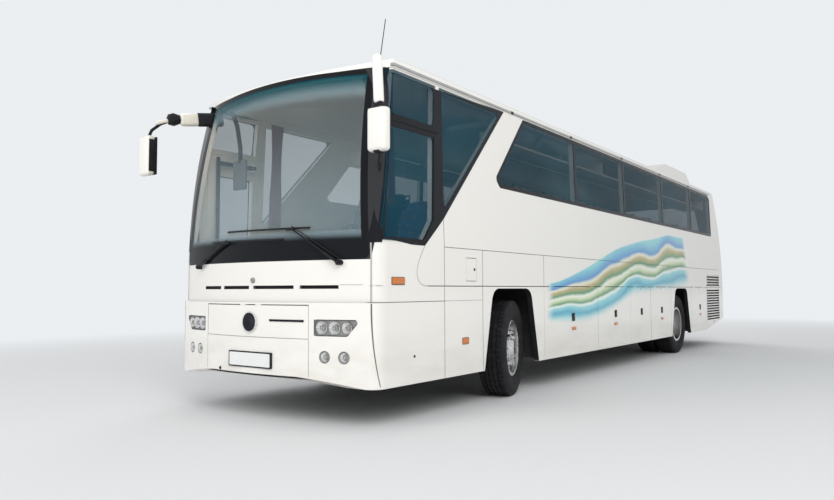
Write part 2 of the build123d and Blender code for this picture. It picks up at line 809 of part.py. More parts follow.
# Posts between the rails and the floors: distance behind the front, top
posts = ((1300, cab_bottom), (1900, deck_bottom), (3100, deck_bottom), (8050, deck_bottom),
         (9450, deck_bottom), (10200, deck_bottom), (engine_to - 220, deck_bottom))
with BuildPart() as underframe:
    for side, word in sides:
        side_block(side, (rail_x - rail_width / 2, rail_x + rail_width / 2), (cab_rail_start, hold_start),
                   (rail_bottom, rail_top))
        side_block(side, (rail_x - rail_width / 2, rail_x + rail_width / 2), (hold_end, rear_rail_end),
                   (rail_bottom, rail_top))
        for spot, top in posts:
            side_block(side, (rail_x - frame_post / 2, rail_x + frame_post / 2), (spot, spot + frame_post),
                       (rail_top, top))
        side_block(side, (cab_floor_x - 120, cab_floor_x - 40), (-100, cab_rail_start + 80), (600, 680))
        side_block(side, (560, 640), (rear_rail_end, body_length + 200), (640, 720))
        for spot in (engine_from + 100, engine_to - 220):
            side_block(side, (engine_half, rail_x), (spot, spot + 80), (rail_bottom, rail_top))
    block((-560, 560), (cab_rail_start, cab_rail_start + 80), (600, rail_top))
    for spot in (cab_rail_start, 9370, 10200):
        block((-hold_x, hold_x), (spot, spot + 80), (rail_bottom, rail_top))
    block((-560, 560), (8900, 8980), (rail_bottom, rail_top))
    block((-900, 900), (rear_rail_end, rear_rail_end + 60), (640, rail_top))
    block((-engine_half, engine_half), (engine_from + 100, engine_to - 140), (rail_bottom - 400, rail_top + 300),
          Mode.SUBTRACT)
    add(clear_inside, mode=Mode.INTERSECT)
underframe.part.label = "underframe"
export_step(underframe.part, "parts/underframe.step")

# Engine, one plain block between the rear rails
with BuildPart() as engine_block:
    block((-engine_half + seat_gap, engine_half - seat_gap), (engine_from, engine_to), (430, 1110))
    fillet(engine_block.edges(), 30)
engine_block.part.label = "engine_block"
export_step(engine_block.part, "parts/engine_block.step")

# Wheel housings, open at the bottom and towards the wheel
with BuildPart() as wheel_housings:
    for side, word in sides:
        for axle, bottom, top, housing, slot in arches:
            side_block(side, (housing_inner_x, inner_x), (axle - housing, axle + housing),
                       (housing_bottom, deck_bottom))
            side_block(side, (housing_inner_x + housing_wall, inner_x),
                       (axle - housing + housing_wall, axle + housing - housing_wall),
                       (housing_bottom, deck_bottom - housing_wall), Mode.SUBTRACT)
            side_block(side, (housing_inner_x, housing_inner_x + housing_wall), (axle - slot, axle + slot),
                       (housing_bottom, axle_height + slot + 10), Mode.SUBTRACT)
wheel_housings.part.label = "wheel_housings"
export_step(wheel_housings.part, "parts/wheel_housings.step")

# Front axle beam with the bosses that the kingpins turn in
boss_radius = 75
boss_half = 100
with BuildPart() as front_axle:
    block((-kingpin_x, kingpin_x), (front_axle_at - 55, front_axle_at + 55), (axle_height - 100, axle_height))
    for side, word in sides:
        cylinder_z(boss_radius, side * kingpin_x, front_axle_at, (axle_height - boss_half, axle_height + boss_half))
    for side, word in sides:
        cylinder_z(kingpin_radius + run_gap, side * kingpin_x, front_axle_at, (axle_height - 120, axle_height + 120),
                   Mode.SUBTRACT)
front_axle.part.label = "front_axle"
export_step(front_axle.part, "parts/front_axle.step")

# Rear axle: tube, final drive housing, spring seats and spindles
twin_mate_x = rear_outer_x - twin_spacing / 2
spindle_end = twin_mate_x + 90
spring_seat = axle_height + 95
with BuildPart() as rear_axle:
    cylinder_x(80, (-700, 700), rear_axle_at, axle_height)
    cylinder_x(spindle_radius, (-spindle_end, spindle_end), rear_axle_at, axle_height)
    cylinder_x(190, (-130, 130), rear_axle_at, axle_height)
    cylinder_y(80, 0, (rear_axle_at, rear_axle_at + 320), axle_height)
    cylinder_y(40, 0, (rear_axle_at + 320, engine_from - seat_gap), axle_height)
    for side, word in sides:
        side_block(side, (340, 520), (rear_axle_at - 110, rear_axle_at + 110),
                   (spring_seat - 40, spring_seat))
rear_axle.part.label = "rear_axle"
export_step(rear_axle.part, "parts/rear_axle.step")

# Air springs between the axles and the rails
spring_x = 430
spring_radius = 90
with BuildPart() as air_springs:
    for side, word in sides:
        for axle, seat in ((front_axle_at, axle_height), (rear_axle_at, spring_seat)):
            cylinder_z(spring_radius, side * spring_x, axle, (seat, rail_bottom - 40))
            cylinder_z(spring_radius + 25, side * spring_x, axle, (seat + 30, seat + 90))
            cylinder_z(spring_radius - 20, side * spring_x, axle, (rail_bottom - 40, rail_bottom))
air_springs.part.label = "air_springs"
export_step(air_springs.part, "parts/air_springs.step")

# Front wheels and knuckles, built straight and then turned about the kingpin
fork_thickness = 40
fork_gap = 5
web_x = boss_radius + 10
stub_end = 300


def turned(piece, side):
    """A front wheel's piece, turned about its kingpin as the coach is parked."""
    return piece.rotate(Axis((side * kingpin_x, along(front_axle_at), 0), (0, 0, 1)), steer_at_rest)


def wheel_section(outline, axle):
    """A ring about a wheel's axis from (X, radius) points."""
    with BuildSketch(Plane.XZ.offset(-along(axle))) as section:
        Polygon(*[(x, axle_height + radius) for x, radius in outline], align=None)
    revolve(section.sketch, axis=Axis((0, along(axle), axle_height), (1, 0, 0)), revolution_arc=360)


def tyre(x, axle):
    """One tyre whose middle plane is at X."""
    half = tyre_width / 2
    bead = rim_width / 2 - seat_gap
    inner = bead_radius + seat_gap
    low_wall = bead_radius + (tyre_radius - bead_radius) * 90 / 221
    high_wall = bead_radius + (tyre_radius - bead_radius) * 146 / 221
    outline = ((-bead, inner), (bead, inner), (bead, bead_radius + 18), (half - 14, bead_radius + 30),
               (half, low_wall), (half - 3, high_wall), (half - 18, tyre_radius - 12),
               (half - 34, tyre_radius), (34 - half, tyre_radius), (18 - half, tyre_radius - 12),
               (3 - half, high_wall), (-half, low_wall), (14 - half, bead_radius + 30),
               (-bead, bead_radius + 18))
    wheel_section([(x + offset_x, radius) for offset_x, radius in outline], axle)


def rim(x, axle):
    """One rim barrel with its flanges, middle plane at X."""
    half = rim_width / 2
    outline = ((-half - 8, bead_radius + 14), (-half - 8, bead_radius - rim_wall), (half + 8, bead_radius - rim_wall),
               (half + 8, bead_radius + 14), (half, bead_radius + 14), (half, bead_radius), (-half, bead_radius),
               (-half, bead_radius + 14))
    wheel_section([(x + offset_x, radius) for offset_x, radius in outline], axle)


for side, word in sides:
    boss_x = side * kingpin_x
    with BuildPart() as knuckle:
        cylinder_z(kingpin_radius, boss_x, front_axle_at,
                   (axle_height - boss_half - fork_gap - fork_thickness,
                    axle_height + boss_half + fork_gap + fork_thickness))
        for turn in (-1, 1):
            near = axle_height + turn * (boss_half + fork_gap)
            span = sorted((near, near + turn * fork_thickness))
            cylinder_z(boss_radius, boss_x, front_axle_at, span)
            side_block(side, (kingpin_x, kingpin_x + web_x + 40), (front_axle_at - 70, front_axle_at + 70), span)
        side_block(side, (kingpin_x + web_x, kingpin_x + web_x + 40), (front_axle_at - 70, front_axle_at + 70),
                   (axle_height - boss_half - fork_gap, axle_height + boss_half + fork_gap))
        low, high = sorted((side * (kingpin_x + web_x), side * (kingpin_x + stub_end)))
        cylinder_x(stub_radius, (low, high), front_axle_at, axle_height)
    knuckle_part = turned(knuckle.part, side)
    knuckle_part.label = f"front_{word}_knuckle"
    export_step(knuckle_part, f"parts/front_{word}_knuckle.step")

    with BuildPart() as front_tyre:
        tyre(side * front_wheel_x, front_axle_at)
    tyre_part = turned(front_tyre.part, side)
    tyre_part.label = f"front_{word}_tyre"
    export_step(tyre_part, f"parts/front_{word}_tyre.step")

    with BuildPart() as front_rim:
        rim(side * front_wheel_x, front_axle_at)
        hub_in = kingpin_x + web_x + 40 + fork_gap
        hub_out = kingpin_x + stub_end + 30
        disc = front_wheel_x + 70
        hub = stub_radius + run_gap
        wheel_section([(side * x, radius) for x, radius in (
            (hub_in, hub), (hub_out - 25, hub), (hub_out - 25, 0.5), (hub_out, 0.5), (hub_out, 70), (disc + 16, 100),
            (disc + 16, 180), (disc - 20, bead_radius - rim_wall + 1), (disc - 40, bead_radius - rim_wall + 1),
            (disc, 180), (disc, 110), (hub_in, 110))], front_axle_at)
    rim_part = turned(front_rim.part, side)
    rim_part.label = f"front_{word}_rim"
    export_step(rim_part, f"parts/front_{word}_rim.step")

    with BuildPart() as rear_tyres:
        for x in (rear_outer_x, rear_outer_x - twin_spacing):
            tyre(side * x, rear_axle_at)
    rear_tyres.part.label = f"rear_{word}_tyres"
    export_step(rear_tyres.part, f"parts/rear_{word}_tyres.step")

    with BuildPart() as rear_rims:
        for x in (rear_outer_x, rear_outer_x - twin_spacing):
            rim(side * x, rear_axle_at)
        mate = twin_mate_x
        bore = spindle_radius + run_gap
        wheel_section([(side * x, radius) for x, radius in (
            (mate - 60, bore), (spindle_end + 5, bore), (spindle_end + 5, 0.5), (spindle_end + 25, 0.5),
            (spindle_end + 25, 90), (mate + 40, 140), (mate + 16, 150), (mate + 16, 200),
            (mate + 52, bead_radius - rim_wall + 1), (mate + 36, bead_radius - rim_wall + 1), (mate, 205),
            (mate - 36, bead_radius - rim_wall + 1), (mate - 52, bead_radius - rim_wall + 1), (mate - 16, 200),
            (mate - 16, 130), (mate - 60, 110))], rear_axle_at)
    rear_rims.part.label = f"rear_{word}_rims"
    export_step(rear_rims.part, f"parts/rear_{word}_rims.step")

# Doors on the right side: leaf, glass and the swinging arm with its post
door_post_depth = 95
post_x = inner_x - door_post_depth
# Doors: name, start and end behind the front, top, post's place, way its arm points at rest
doors = (
    ("front_door", front_door_from, front_door_to, front_door_top, front_door_from + door_post_inset, 1),
    ("middle_door", middle_door_from, middle_door_to, middle_door_top, middle_door_to - door_post_inset, -1),
)
low_arm = 560
arm_below_top = 100
glass_low = 1240
glass_below_top = 190
glass_side = 90
eye_half = 20
ear = 12


def door_window(low, high, top):
    """The outline of a door's window seen from the side."""
    glass_top = top - glass_below_top
    return ((low + glass_side, glass_low), (high - glass_side, glass_low), (high - glass_side, glass_top),
            (low + glass_side, glass_top))


with BuildPart() as door_glass_beds:
    for name, low, high, top, post, way in doors:
        grown_prism(-1, door_window(low, high, top), wall_x, 40, -seat_gap)
    add(glass_bed, mode=Mode.SUBTRACT)

for name, low, high, top, post, way in doors:
    pin = post + way * door_arm_reach
    levels = (low_arm, top - arm_below_top)
    outline = door_window(low, high, top)
    with BuildPart() as door_leaf:
        add(shell.part)
        side_block(-1, wall_x, (low + move_gap, high - move_gap), (door_bottom, top - move_gap), Mode.INTERSECT)
        add(door_glass_beds.part, mode=Mode.SUBTRACT)
        grown_prism(-1, outline, wall_x, 40, 30, Mode.SUBTRACT)
        for level in levels:
            for turn in (-1, 1):
                near = level + turn * (eye_half + 5)
                span = sorted((near, near + turn * ear))
                cylinder_z(25, -post_x, pin, span)
                side_block(-1, (post_x, inner_x + 5), (pin - 25, pin + 25), span)
            cylinder_z(door_pin_radius, -post_x, pin, (level - eye_half - 10, level + eye_half + 10))
    door_leaf.part.label = name
    export_step(door_leaf.part, f"parts/{name}.step")

    with BuildPart() as door_pane:
        grown_prism(-1, outline, wall_x, 40, 0)
        add(outer_body, mode=Mode.INTERSECT)
        add(glass_back, mode=Mode.SUBTRACT)
    door_pane.part.label = f"{name}_glass"
    export_step(door_pane.part, f"parts/{name}_glass.step")

    with BuildPart() as door_arm:
        cylinder_z(door_post_radius, -post_x, post, (first_tread + seat_gap, levels[1] + 60))
        for level in levels:
            span = sorted((post, pin))
            block((-post_x - 15, -post_x + 15), span, (level - eye_half, level + eye_half))
            cylinder_z(25, -post_x, pin, (level - eye_half, level + eye_half))
        for level in levels:
            cylinder_z(door_pin_radius + run_gap, -post_x, pin, (level - eye_half - 1, level + eye_half + 1),
                       Mode.SUBTRACT)
    door_arm.part.label = f"{name}_arm"
    export_step(door_arm.part, f"parts/{name}_arm.step")

# Dashboard with the steering column
driver_x = 600
wheel_at = 880
wheel_height = 1600
column_tilt = 30
column_axis = Vector(0, sin(radians(column_tilt)), cos(radians(column_tilt)))
wheel_plane = Plane(origin=(driver_x, along(wheel_at), wheel_height), x_dir=(1, 0, 0), z_dir=column_axis)
with BuildPart() as dashboard:
    side_prism(1, ((90, cab_height), (90, 1480), (330, 1600), (600, 1560), (700, 1440), (700, 1280), (520, cab_height)),
               (-300, 1150))
    side_prism(1, ((90, 1300), (90, 1480), (330, 1600), (420, 1560), (420, 1300)), (-1100, -300))
    foot = wheel_plane.origin - column_axis * 330
    with BuildSketch(Plane(origin=foot, z_dir=column_axis)) as column:
        Circle(38)
    extrude(amount=300)
    with BuildSketch(Plane(origin=foot, z_dir=column_axis)) as shaft:
        Circle(12)
    extrude(amount=340)
    add(clear_inside, mode=Mode.INTERSECT)
dashboard.part.label = "dashboard"
export_step(dashboard.part, "parts/dashboard.step")

with BuildPart() as steering_wheel:
    with BuildSketch(wheel_plane.offset(-25)) as hub_face:
        Circle(45)
        Circle(12 + run_gap, mode=Mode.SUBTRACT)
    extrude(amount=45)
    with BuildSketch(wheel_plane.offset(-3)) as spokes:
        for turn in (0, 120, 240):
            with Locations(Location((0, 0, 0), (0, 0, turn - 90))):
                with Locations((125, 0)):
                    Rectangle(220, 30)
        Circle(30, mode=Mode.SUBTRACT)
    extrude(amount=8)
    with BuildSketch(Plane(origin=wheel_plane.origin, x_dir=(1, 0, 0), z_dir=wheel_plane.y_dir)) as ring:
        with Locations((235, 0)):
            Circle(15)
    revolve(axis=Axis(wheel_plane.origin, column_axis), revolution_arc=360)
steering_wheel.part.label = "steering_wheel"
export_step(steering_wheel.part, "parts/steering_wheel.step")

# Driver's seat
with BuildPart() as driver_seat:
    block((driver_x - 180, driver_x + 180), (1230, 1560), (cab_height, 1220))
    side_prism(1, ((1170, 1220), (1170, 1350), (1560, 1340), (1660, 2060), (1750, 2060), (1660, 1220)),
               (driver_x - 240, driver_x + 240), 20)
driver_seat.part.label = "driver_seat"
export_step(driver_seat.part, "parts/driver_seat.step")

# Passenger seats, in pairs on both sides of the aisle
seat_start = 2150
seat_pitch = 790
seat_rows = 11
seat_x = (290, 1160)
with BuildPart() as passenger_seats:
    for side, word in sides:
        for row in range(seat_rows):
            y = seat_start + row * seat_pitch
            if side < 0 and well_from - 720 < y < well_to:
                continue
            side_prism(side, ((y, 1590), (y, 1700), (y + 430, 1690), (y + 540, 2340), (y + 640, 2340),
                              (y + 545, 1590)), seat_x, 20)
            side_block(side, (690, 760), (y + 150, y + 350), (deck_height, 1595))
passenger_seats.part.label = "passenger_seats"
export_step(passenger_seats.part, "parts/passenger_seats.step")

# Overhead luggage racks, one shelf with a front lip on each side
rack_from = 2600
rack_to = body_length - 1300
rack_x = (800, half_width + 125)
with BuildPart() as luggage_racks:
    for side, word in sides:
        side_block(side, rack_x, (rack_from, rack_to), (2720, 2745))
        side_block(side, (rack_x[0], rack_x[0] + 20), (rack_from, rack_to), (2700, 2850))
        for spot in (rack_from, 5300, 8000, rack_to - 30):
            side_block(side, rack_x, (spot, spot + 30), (2745, 2900))
    add(clear_inside, mode=Mode.INTERSECT)
luggage_racks.part.label = "luggage_racks"
export_step(luggage_racks.part, "parts/luggage_racks.step")

# Roof air conditioner
ac_from = body_length - 3400
ac_to = body_length - 1200
ac_half = 900
ac_base = 3150
ac_shoulder = 3310
ac_top = 3470
ac_slope = 560
ac_tail = 300
with BuildPart() as air_conditioner:
    side_prism(1, ((ac_from, ac_base), (ac_from, ac_shoulder), (ac_from + ac_slope, ac_top),
                   (ac_to - ac_tail, ac_top), (ac_to, ac_shoulder), (ac_to, ac_base)), (-ac_half, ac_half), 12)
    add(clear_outside, mode=Mode.SUBTRACT)
air_conditioner.part.label = "air_conditioner"
export_step(air_conditioner.part, "parts/air_conditioner.step")

# Antenna on the roof: a round foot and a whip that leans back
antenna_x = 950
antenna_at = 640
antenna_foot = 28
antenna_foot_top = 3175
antenna_tip = (850, 850, 3640)
antenna_radius = 4
with BuildPart() as antenna:
    cylinder_z(antenna_foot, antenna_x, antenna_at, (antenna_foot_top - 120, antenna_foot_top))
    rod((antenna_x, antenna_at, antenna_foot_top - 20), antenna_tip, antenna_radius)
    add(clear_outside, mode=Mode.SUBTRACT)
antenna.part.label = "antenna"
export_step(antenna.part, "parts/antenna.step")

# Mirror arms: X, distance behind the front, Z, radius of the bar that ends there
left_arm = ((half_width - 175, 450, 3010, 45), (half_width + 45, 160, 2960, 45), (mirror_x, 100, 2570, 45))
right_arm = ((half_width - 215, 520, 2905, 60), (half_width - 13, 60, 2850, 60), (mirror_x, -140, 2660, 18))
# Name, side, arm, head's distance behind the front, Z and height
mirrors = (
    ("left_mirror", 1, left_arm, 100, 2400, 370),
    ("right_mirror", -1, right_arm, 55 - mirror_reach, 2460, 400),
)
head_width = 190
head_depth = 110
for name, side, arm, y, z, height in mirrors:
    with BuildPart() as mirror:
        for start, end in zip(arm, arm[1:]):
            rod((side * start[0], start[1], start[2]), (side * end[0], end[1], end[2]), end[3])
        add(clear_outside, mode=Mode.SUBTRACT)
        with Locations((side * mirror_x, along(y), z)):
            Box(head_width, head_depth, height)
    mirror.part.label = name
    export_step(mirror.part, f"parts/{name}.step")

# Wipers: a post on the panel, an arm and a curved blade that follows the glass
wiper_stand = 35
# X and Z of the post, the arm's end and the blade's two ends
wiper_places = (
    ((-879, 1352), (-361, 1570), (-624, 1573), (369, 1563)),
    ((939, 1352), (467, 1654), (-370, 1660), (646, 1652)),
)


def ahead_of_glass(x, z, stand):
    """Distance behind the front of a point that stands off the windscreen."""
    return windscreen_y(z) + plan_radius - sqrt(plan_radius ** 2 - x ** 2) - stand


with BuildPart() as wipers:
    for (post_at, post_z), (arm_x, arm_z), (start_x, start_z), (end_x, end_z) in wiper_places:
        middle_x = (start_x + end_x) / 2
        middle_z = (start_z + end_z) / 2
        post_y = ahead_of_glass(post_at, post_z, wiper_stand)
        rod((post_at, post_y, post_z), (post_at, post_y + 120, post_z), 18)
        rod((arm_x, ahead_of_glass(arm_x, arm_z, wiper_stand), arm_z), (post_at, post_y, post_z), 11)
        points = [Vector(x, along(ahead_of_glass(x, z, wiper_stand - 15)), z) for x, z in (
            (start_x, start_z), (middle_x, middle_z), (end_x, end_z))]
        with BuildLine() as blade_line:
            ThreePointArc(*points)
        with BuildSketch(Plane(origin=points[0], z_dir=blade_line.line % 0)) as blade_end:
            Circle(12)
        sweep(blade_end.sketch, path=blade_line.line)
    add(clear_outside, mode=Mode.SUBTRACT)
wipers.part.label = "wipers"
export_step(wipers.part, "parts/wipers.step")
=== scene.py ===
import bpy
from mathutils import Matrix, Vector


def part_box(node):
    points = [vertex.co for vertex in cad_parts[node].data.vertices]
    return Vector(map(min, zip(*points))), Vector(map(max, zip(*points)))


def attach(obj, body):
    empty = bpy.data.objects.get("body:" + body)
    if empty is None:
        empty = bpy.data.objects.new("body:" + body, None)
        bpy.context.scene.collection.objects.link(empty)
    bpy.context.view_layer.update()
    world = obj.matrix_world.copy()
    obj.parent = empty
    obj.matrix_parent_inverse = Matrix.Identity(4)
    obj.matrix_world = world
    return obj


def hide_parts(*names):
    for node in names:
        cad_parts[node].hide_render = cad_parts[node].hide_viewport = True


bl_info = {
    "name": "Coach finish",
    "version": (1, 0, 0),
    "blender": (4, 5, 0),
    "location": "3D View > Sidebar > Coach",
    "description": "Paint, glass, trim, lamps, wheels and cabin of a twelve-metre coach, around its fixed frame",
    "category": "Object",
}

from functools import partial
from math import atan2, cos, floor, pi, radians, sin, sqrt, tan

import bmesh
import bpy
from bpy.props import FloatProperty, FloatVectorProperty, PointerProperty
from mathutils import Matrix, Vector

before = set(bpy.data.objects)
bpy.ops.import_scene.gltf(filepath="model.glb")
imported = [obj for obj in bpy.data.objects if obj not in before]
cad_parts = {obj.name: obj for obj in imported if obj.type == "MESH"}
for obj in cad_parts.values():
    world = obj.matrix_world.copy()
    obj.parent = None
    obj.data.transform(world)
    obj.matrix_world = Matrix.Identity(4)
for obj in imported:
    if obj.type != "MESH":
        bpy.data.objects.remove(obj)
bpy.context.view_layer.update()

# The body's shape, in metres. Distances run back from the front, heights up from the ground.
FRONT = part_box("front_bumper")[0].y
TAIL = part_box("rear_bumper")[1].y
HALF = 1.275
BODY_LENGTH = 12.0
PLAN_RADIUS = 3.75
CORNER_START = 0.307
CORNER_RADIUS = 0.12
LEDGE_HEIGHT = 1.02
LEDGE_DEPTH = 0.03
SCREEN_FOOT = 1.372
SCREEN_RADIUS = 6.026
WAIST = 1.516
SHOULDER = 3.13
SHOULDER_LEAN = 0.05
SKIRT_BOTTOM = 0.33
TAIL_STRAIGHT = 1.0
TAIL_RADIUS = 3.923
TAIL_CORNER = 0.3
LEFT, RIGHT = 1, -1
SIDES = {LEFT: "left", RIGHT: "right"}

# Outlines of the side glass: distance and height, as the panes lie in the wall
BAND = ((2.255, 2.187), (10.96, 2.187), (10.96, 2.95), (10.83, 3.025), (2.835, 3.025), (2.19, 2.30), (2.19, 2.257))
BAND_EDGES = (2.19, 4.228, 5.985, 7.801, 9.53, 10.96)
DIVIDER_HALF = 0.030
PANE_BOTTOM = 2.232
PANE_TOP = 2.985
CAB_ZONE = ((0.25, 1.514), (0.874, 1.514), (1.179, 1.772), (2.394, 3.022), (0.448, 3.022))
# On the right the surround leaves the front door's opening free
DOOR_SIDE_ZONE = ((0.25, 1.514), (0.422, 1.514), (0.422, 2.568), (1.158, 2.568), (1.158, 1.754), (1.179, 1.772),
                  (2.394, 3.022), (0.448, 3.022))
DRIVER_PANE = ((0.292, 1.566), (0.852, 1.566), (1.0, 1.752), (1.045, 2.505), (0.42, 2.505))
QUARTER_PANE = ((0.436, 2.62), (1.055, 2.62), (1.08, 2.975), (0.482, 2.975))
REAR_TRIANGLE = ((1.19, 1.85), (2.30, 2.975), (1.205, 2.975))

# Wheels and their arches: axle, half width at the skirt's foot and at the arch's top
WHEEL_HEIGHT = 0.505
FRONT_AXLE = 2.48
REAR_AXLE = 8.68
KINGPIN = 0.92
STEER = radians(15)
FRONT_WHEEL_X = 1.11
REAR_WHEEL_X = 1.062
TWIN_SPACING = 0.33
ARCHES = ((FRONT_AXLE, 0.595, 0.415), (REAR_AXLE, 0.568, 0.350))
ARCH_TOP = 1.137

# The photograph's camera: place, heading, pitch, roll and focal length as a share of the picture's width
CAMERA_PLACE = (4.8733, -10.0647, 1.1273)
CAMERA_YAW = radians(36.18)
CAMERA_PITCH = radians(3.22)
CAMERA_ROLL = radians(-0.16)
CAMERA_FOCAL = 703.96 / 834
BACKDROP = (0.83, 0.86, 0.88, 1.0)


def back(distance):
    """Y of a place that many metres behind the front."""
    return FRONT + distance


def screen_lean(z):
    """How far the windscreen leans back at a height."""
    rise = max(0.0, z - SCREEN_FOOT)
    return SCREEN_RADIUS - sqrt(SCREEN_RADIUS ** 2 - rise ** 2)


def nose(x, z, proud=0.0):
    """A point on the rounded front face, or proud of it."""
    depth = PLAN_RADIUS - sqrt(PLAN_RADIUS ** 2 - min(abs(x), HALF) ** 2)
    if z >= LEDGE_HEIGHT:
        depth += LEDGE_DEPTH + screen_lean(z)
    return Vector((x, back(depth - proud), z))


def flank(side, distance, z, proud=0.0):
    """A point on a side face, or proud of it, with the rounded front corner."""
    x = HALF - SHOULDER_LEAN * max(0.0, z - WAIST) / (SHOULDER - WAIST)
    start = CORNER_START + (LEDGE_DEPTH + screen_lean(z) if z > LEDGE_HEIGHT else 0.0)
    if distance < start:
        x += sqrt(max(0.0, CORNER_RADIUS ** 2 - (start - distance) ** 2)) - CORNER_RADIUS
    return Vector((side * (x + proud), back(distance), z))


def stern(x, z, proud=0.0):
    """A point on the rear face, or proud of it, with its rounded corners."""
    depth = TAIL_RADIUS - sqrt(TAIL_RADIUS ** 2 - max(0.0, z - TAIL_STRAIGHT) ** 2)
    over = max(0.0, abs(x) - (HALF - TAIL_CORNER))
    depth += TAIL_CORNER - sqrt(max(0.0, TAIL_CORNER ** 2 - over ** 2))
    return Vector((x, back(BODY_LENGTH - depth + proud), z))


# Meshes. Each function returns a new bmesh, closed, about its own origin or in place.


def rounded_box(low, high, rounding, segments=2):
    """A box between two corners with rounded edges."""
    bm = bmesh.new()
    bmesh.ops.create_cube(bm, size=1.0)
    low, high = Vector(low), Vector(high)
    bmesh.ops.scale(bm, vec=high - low, verts=bm.verts)
    bmesh.ops.translate(bm, vec=(low + high) / 2, verts=bm.verts)
    bmesh.ops.bevel(bm, geom=bm.edges[:], offset=rounding, segments=segments, affect="EDGES",
                    profile=0.5, material=-1)
    return bm


def block(across, along, heights, rounding, segments=2):
    """A rounded box by its two X, its two distances behind the front and its two heights."""
    low, high = sorted(across)
    return rounded_box((low, back(along[0]), heights[0]), (high, back(along[1]), heights[1]), rounding, segments)


def side_block(side, proud, along, heights, rounding, segments=2):
    """A rounded box on a side, from one depth to another proud of the wall."""
    return block([side * (HALF + value) for value in proud], along, heights, rounding, segments)


def lathe(outline, steps=48):
    """A solid of revolution about Z from (height, radius) points."""
    bm = bmesh.new()
    verts = [bm.verts.new((radius, 0, height)) for height, radius in outline]
    edges = [bm.edges.new(pair) for pair in zip(verts, verts[1:])]
    if outline[0][1] > 0:
        edges.append(bm.edges.new((verts[-1], verts[0])))
    bmesh.ops.spin(bm, geom=verts + edges, cent=(0, 0, 0), axis=(0, 0, 1), angle=2 * pi, steps=steps,
                   use_merge=True)
    bmesh.ops.remove_doubles(bm, verts=bm.verts, dist=1e-6)
    return bm


def thickened(bm, depth):
    """Gives an open sheet a back face moved by a vector, or an even thickness where depth is a number."""
    if isinstance(depth, float):
        bmesh.ops.recalc_face_normals(bm, faces=bm.faces)
        bmesh.ops.solidify(bm, geom=bm.faces[:], thickness=depth)
        return bm
    made = bmesh.ops.extrude_face_region(bm, geom=bm.faces[:], use_keep_orig=True)
    moved = [item for item in made["geom"] if isinstance(item, bmesh.types.BMVert)]
    bmesh.ops.translate(bm, vec=Vector(depth), verts=moved)
    return bm


def sheet(columns, rows, place, depth):
    """A grid laid on a surface by place(u, v), u and v from 0 to 1, with a back face moved by depth."""
    bm = bmesh.new()
    bmesh.ops.create_grid(bm, x_segments=columns, y_segments=rows, size=0.5)
    for vert in bm.verts:
        vert.co = place(vert.co.x + 0.5, vert.co.y + 0.5)
    return thickened(bm, depth)


def between(ends, share):
    """A value between two ends."""
    return ends[0] + (ends[1] - ends[0]) * share


def patch(surface, across, upward, proud, depth, columns=8, rows=1):
    """A strip of nose, stern or flank between two places along it and two heights."""
    def place(u, v):
        return surface(between(across, u), between(upward, v), proud)
    return sheet(columns, rows, place, depth)


def plate(outline, holes, lift, depth):
    """A flat outline with holes, lifted onto a surface, with a back face moved by depth."""
    bm = bmesh.new()
    for loop in (outline, *holes):
        verts = [bm.verts.new((a, b, 0)) for a, b in loop]
        for start, end in zip(verts, verts[1:] + verts[:1]):
            bm.edges.new((start, end))
    bmesh.ops.triangle_fill(bm, use_beauty=True, edges=bm.edges[:])
    for vert in bm.verts:
        vert.co = lift(vert.co.x, vert.co.y)
    return thickened(bm, depth)


def bar(points, radius, resolution=2):
    """A round bar along points."""
    curve = bpy.data.curves.new("bar", "CURVE")
    curve.dimensions = "3D"
    curve.bevel_depth = radius
    curve.bevel_resolution = resolution
    curve.use_fill_caps = True
    spline = curve.splines.new("POLY")
    spline.points.add(len(points) - 1)
    for spot, point in zip(spline.points, points):
        spot.co = (*point, 1.0)
    holder = bpy.data.objects.new("bar", curve)
    mesh = bpy.data.meshes.new_from_object(holder)
    bm = bmesh.new()
    bm.from_mesh(mesh)
    bpy.data.objects.remove(holder)
    bpy.data.meshes.remove(mesh)
    bpy.data.curves.remove(curve)
    return bm


def beam(start, end, width, depth, rounding):
    """A flat beam between two points, its width across the line of travel."""
    start, end = Vector(start), Vector(end)
    length = (end - start).length
    bm = rounded_box((-width / 2, -depth / 2, 0), (width / 2, depth / 2, length), rounding, 3)
    bm.transform(facing(start, end - start))
    return bm


def cushion(low, high, crown=0.18, channels=0):
    """A crowned pad with soft corners and sides that pull in, with sewn channels across its face."""
    bm = bmesh.new()
    bmesh.ops.create_cube(bm, size=2.0)
    bmesh.ops.subdivide_edges(bm, edges=bm.edges[:], cuts=9, use_grid_fill=True)
    low, high = Vector(low), Vector(high)
    middle, half = (low + high) / 2, (high - low) / 2
    for vert in bm.verts:
        u, v, w = vert.co
        swell = (abs(u) ** 5 + abs(v) ** 5 + abs(w) ** 5) ** 0.2
        u, v, w = u / swell, v / swell, w / swell
        thin = 1.0 - crown * (u * u + v * v) / 2
        if channels:
            thin -= 0.07 * (1 - abs(sin(channels * pi * (u + 1) / 2))) ** 3
        pinch = 1.0 - 0.04 * (1 - w * w) * (1 - min(1.0, u * u * v * v * 4))
        vert.co = middle + Vector((u * half.x * pinch, v * half.y * pinch, w * half.z * thin))
    return bm


def tilted(bm, angle, pivot):
    """Leans a mesh back about a line across the coach."""
    bmesh.ops.rotate(bm, cent=pivot, matrix=Matrix.Rotation(angle, 3, "X"), verts=bm.verts)
    return bm


def rectangle(across, upward):
    """The four corners of an upright rectangle."""
    return ((across[0], upward[0]), (across[1], upward[0]), (across[1], upward[1]), (across[0], upward[1]))


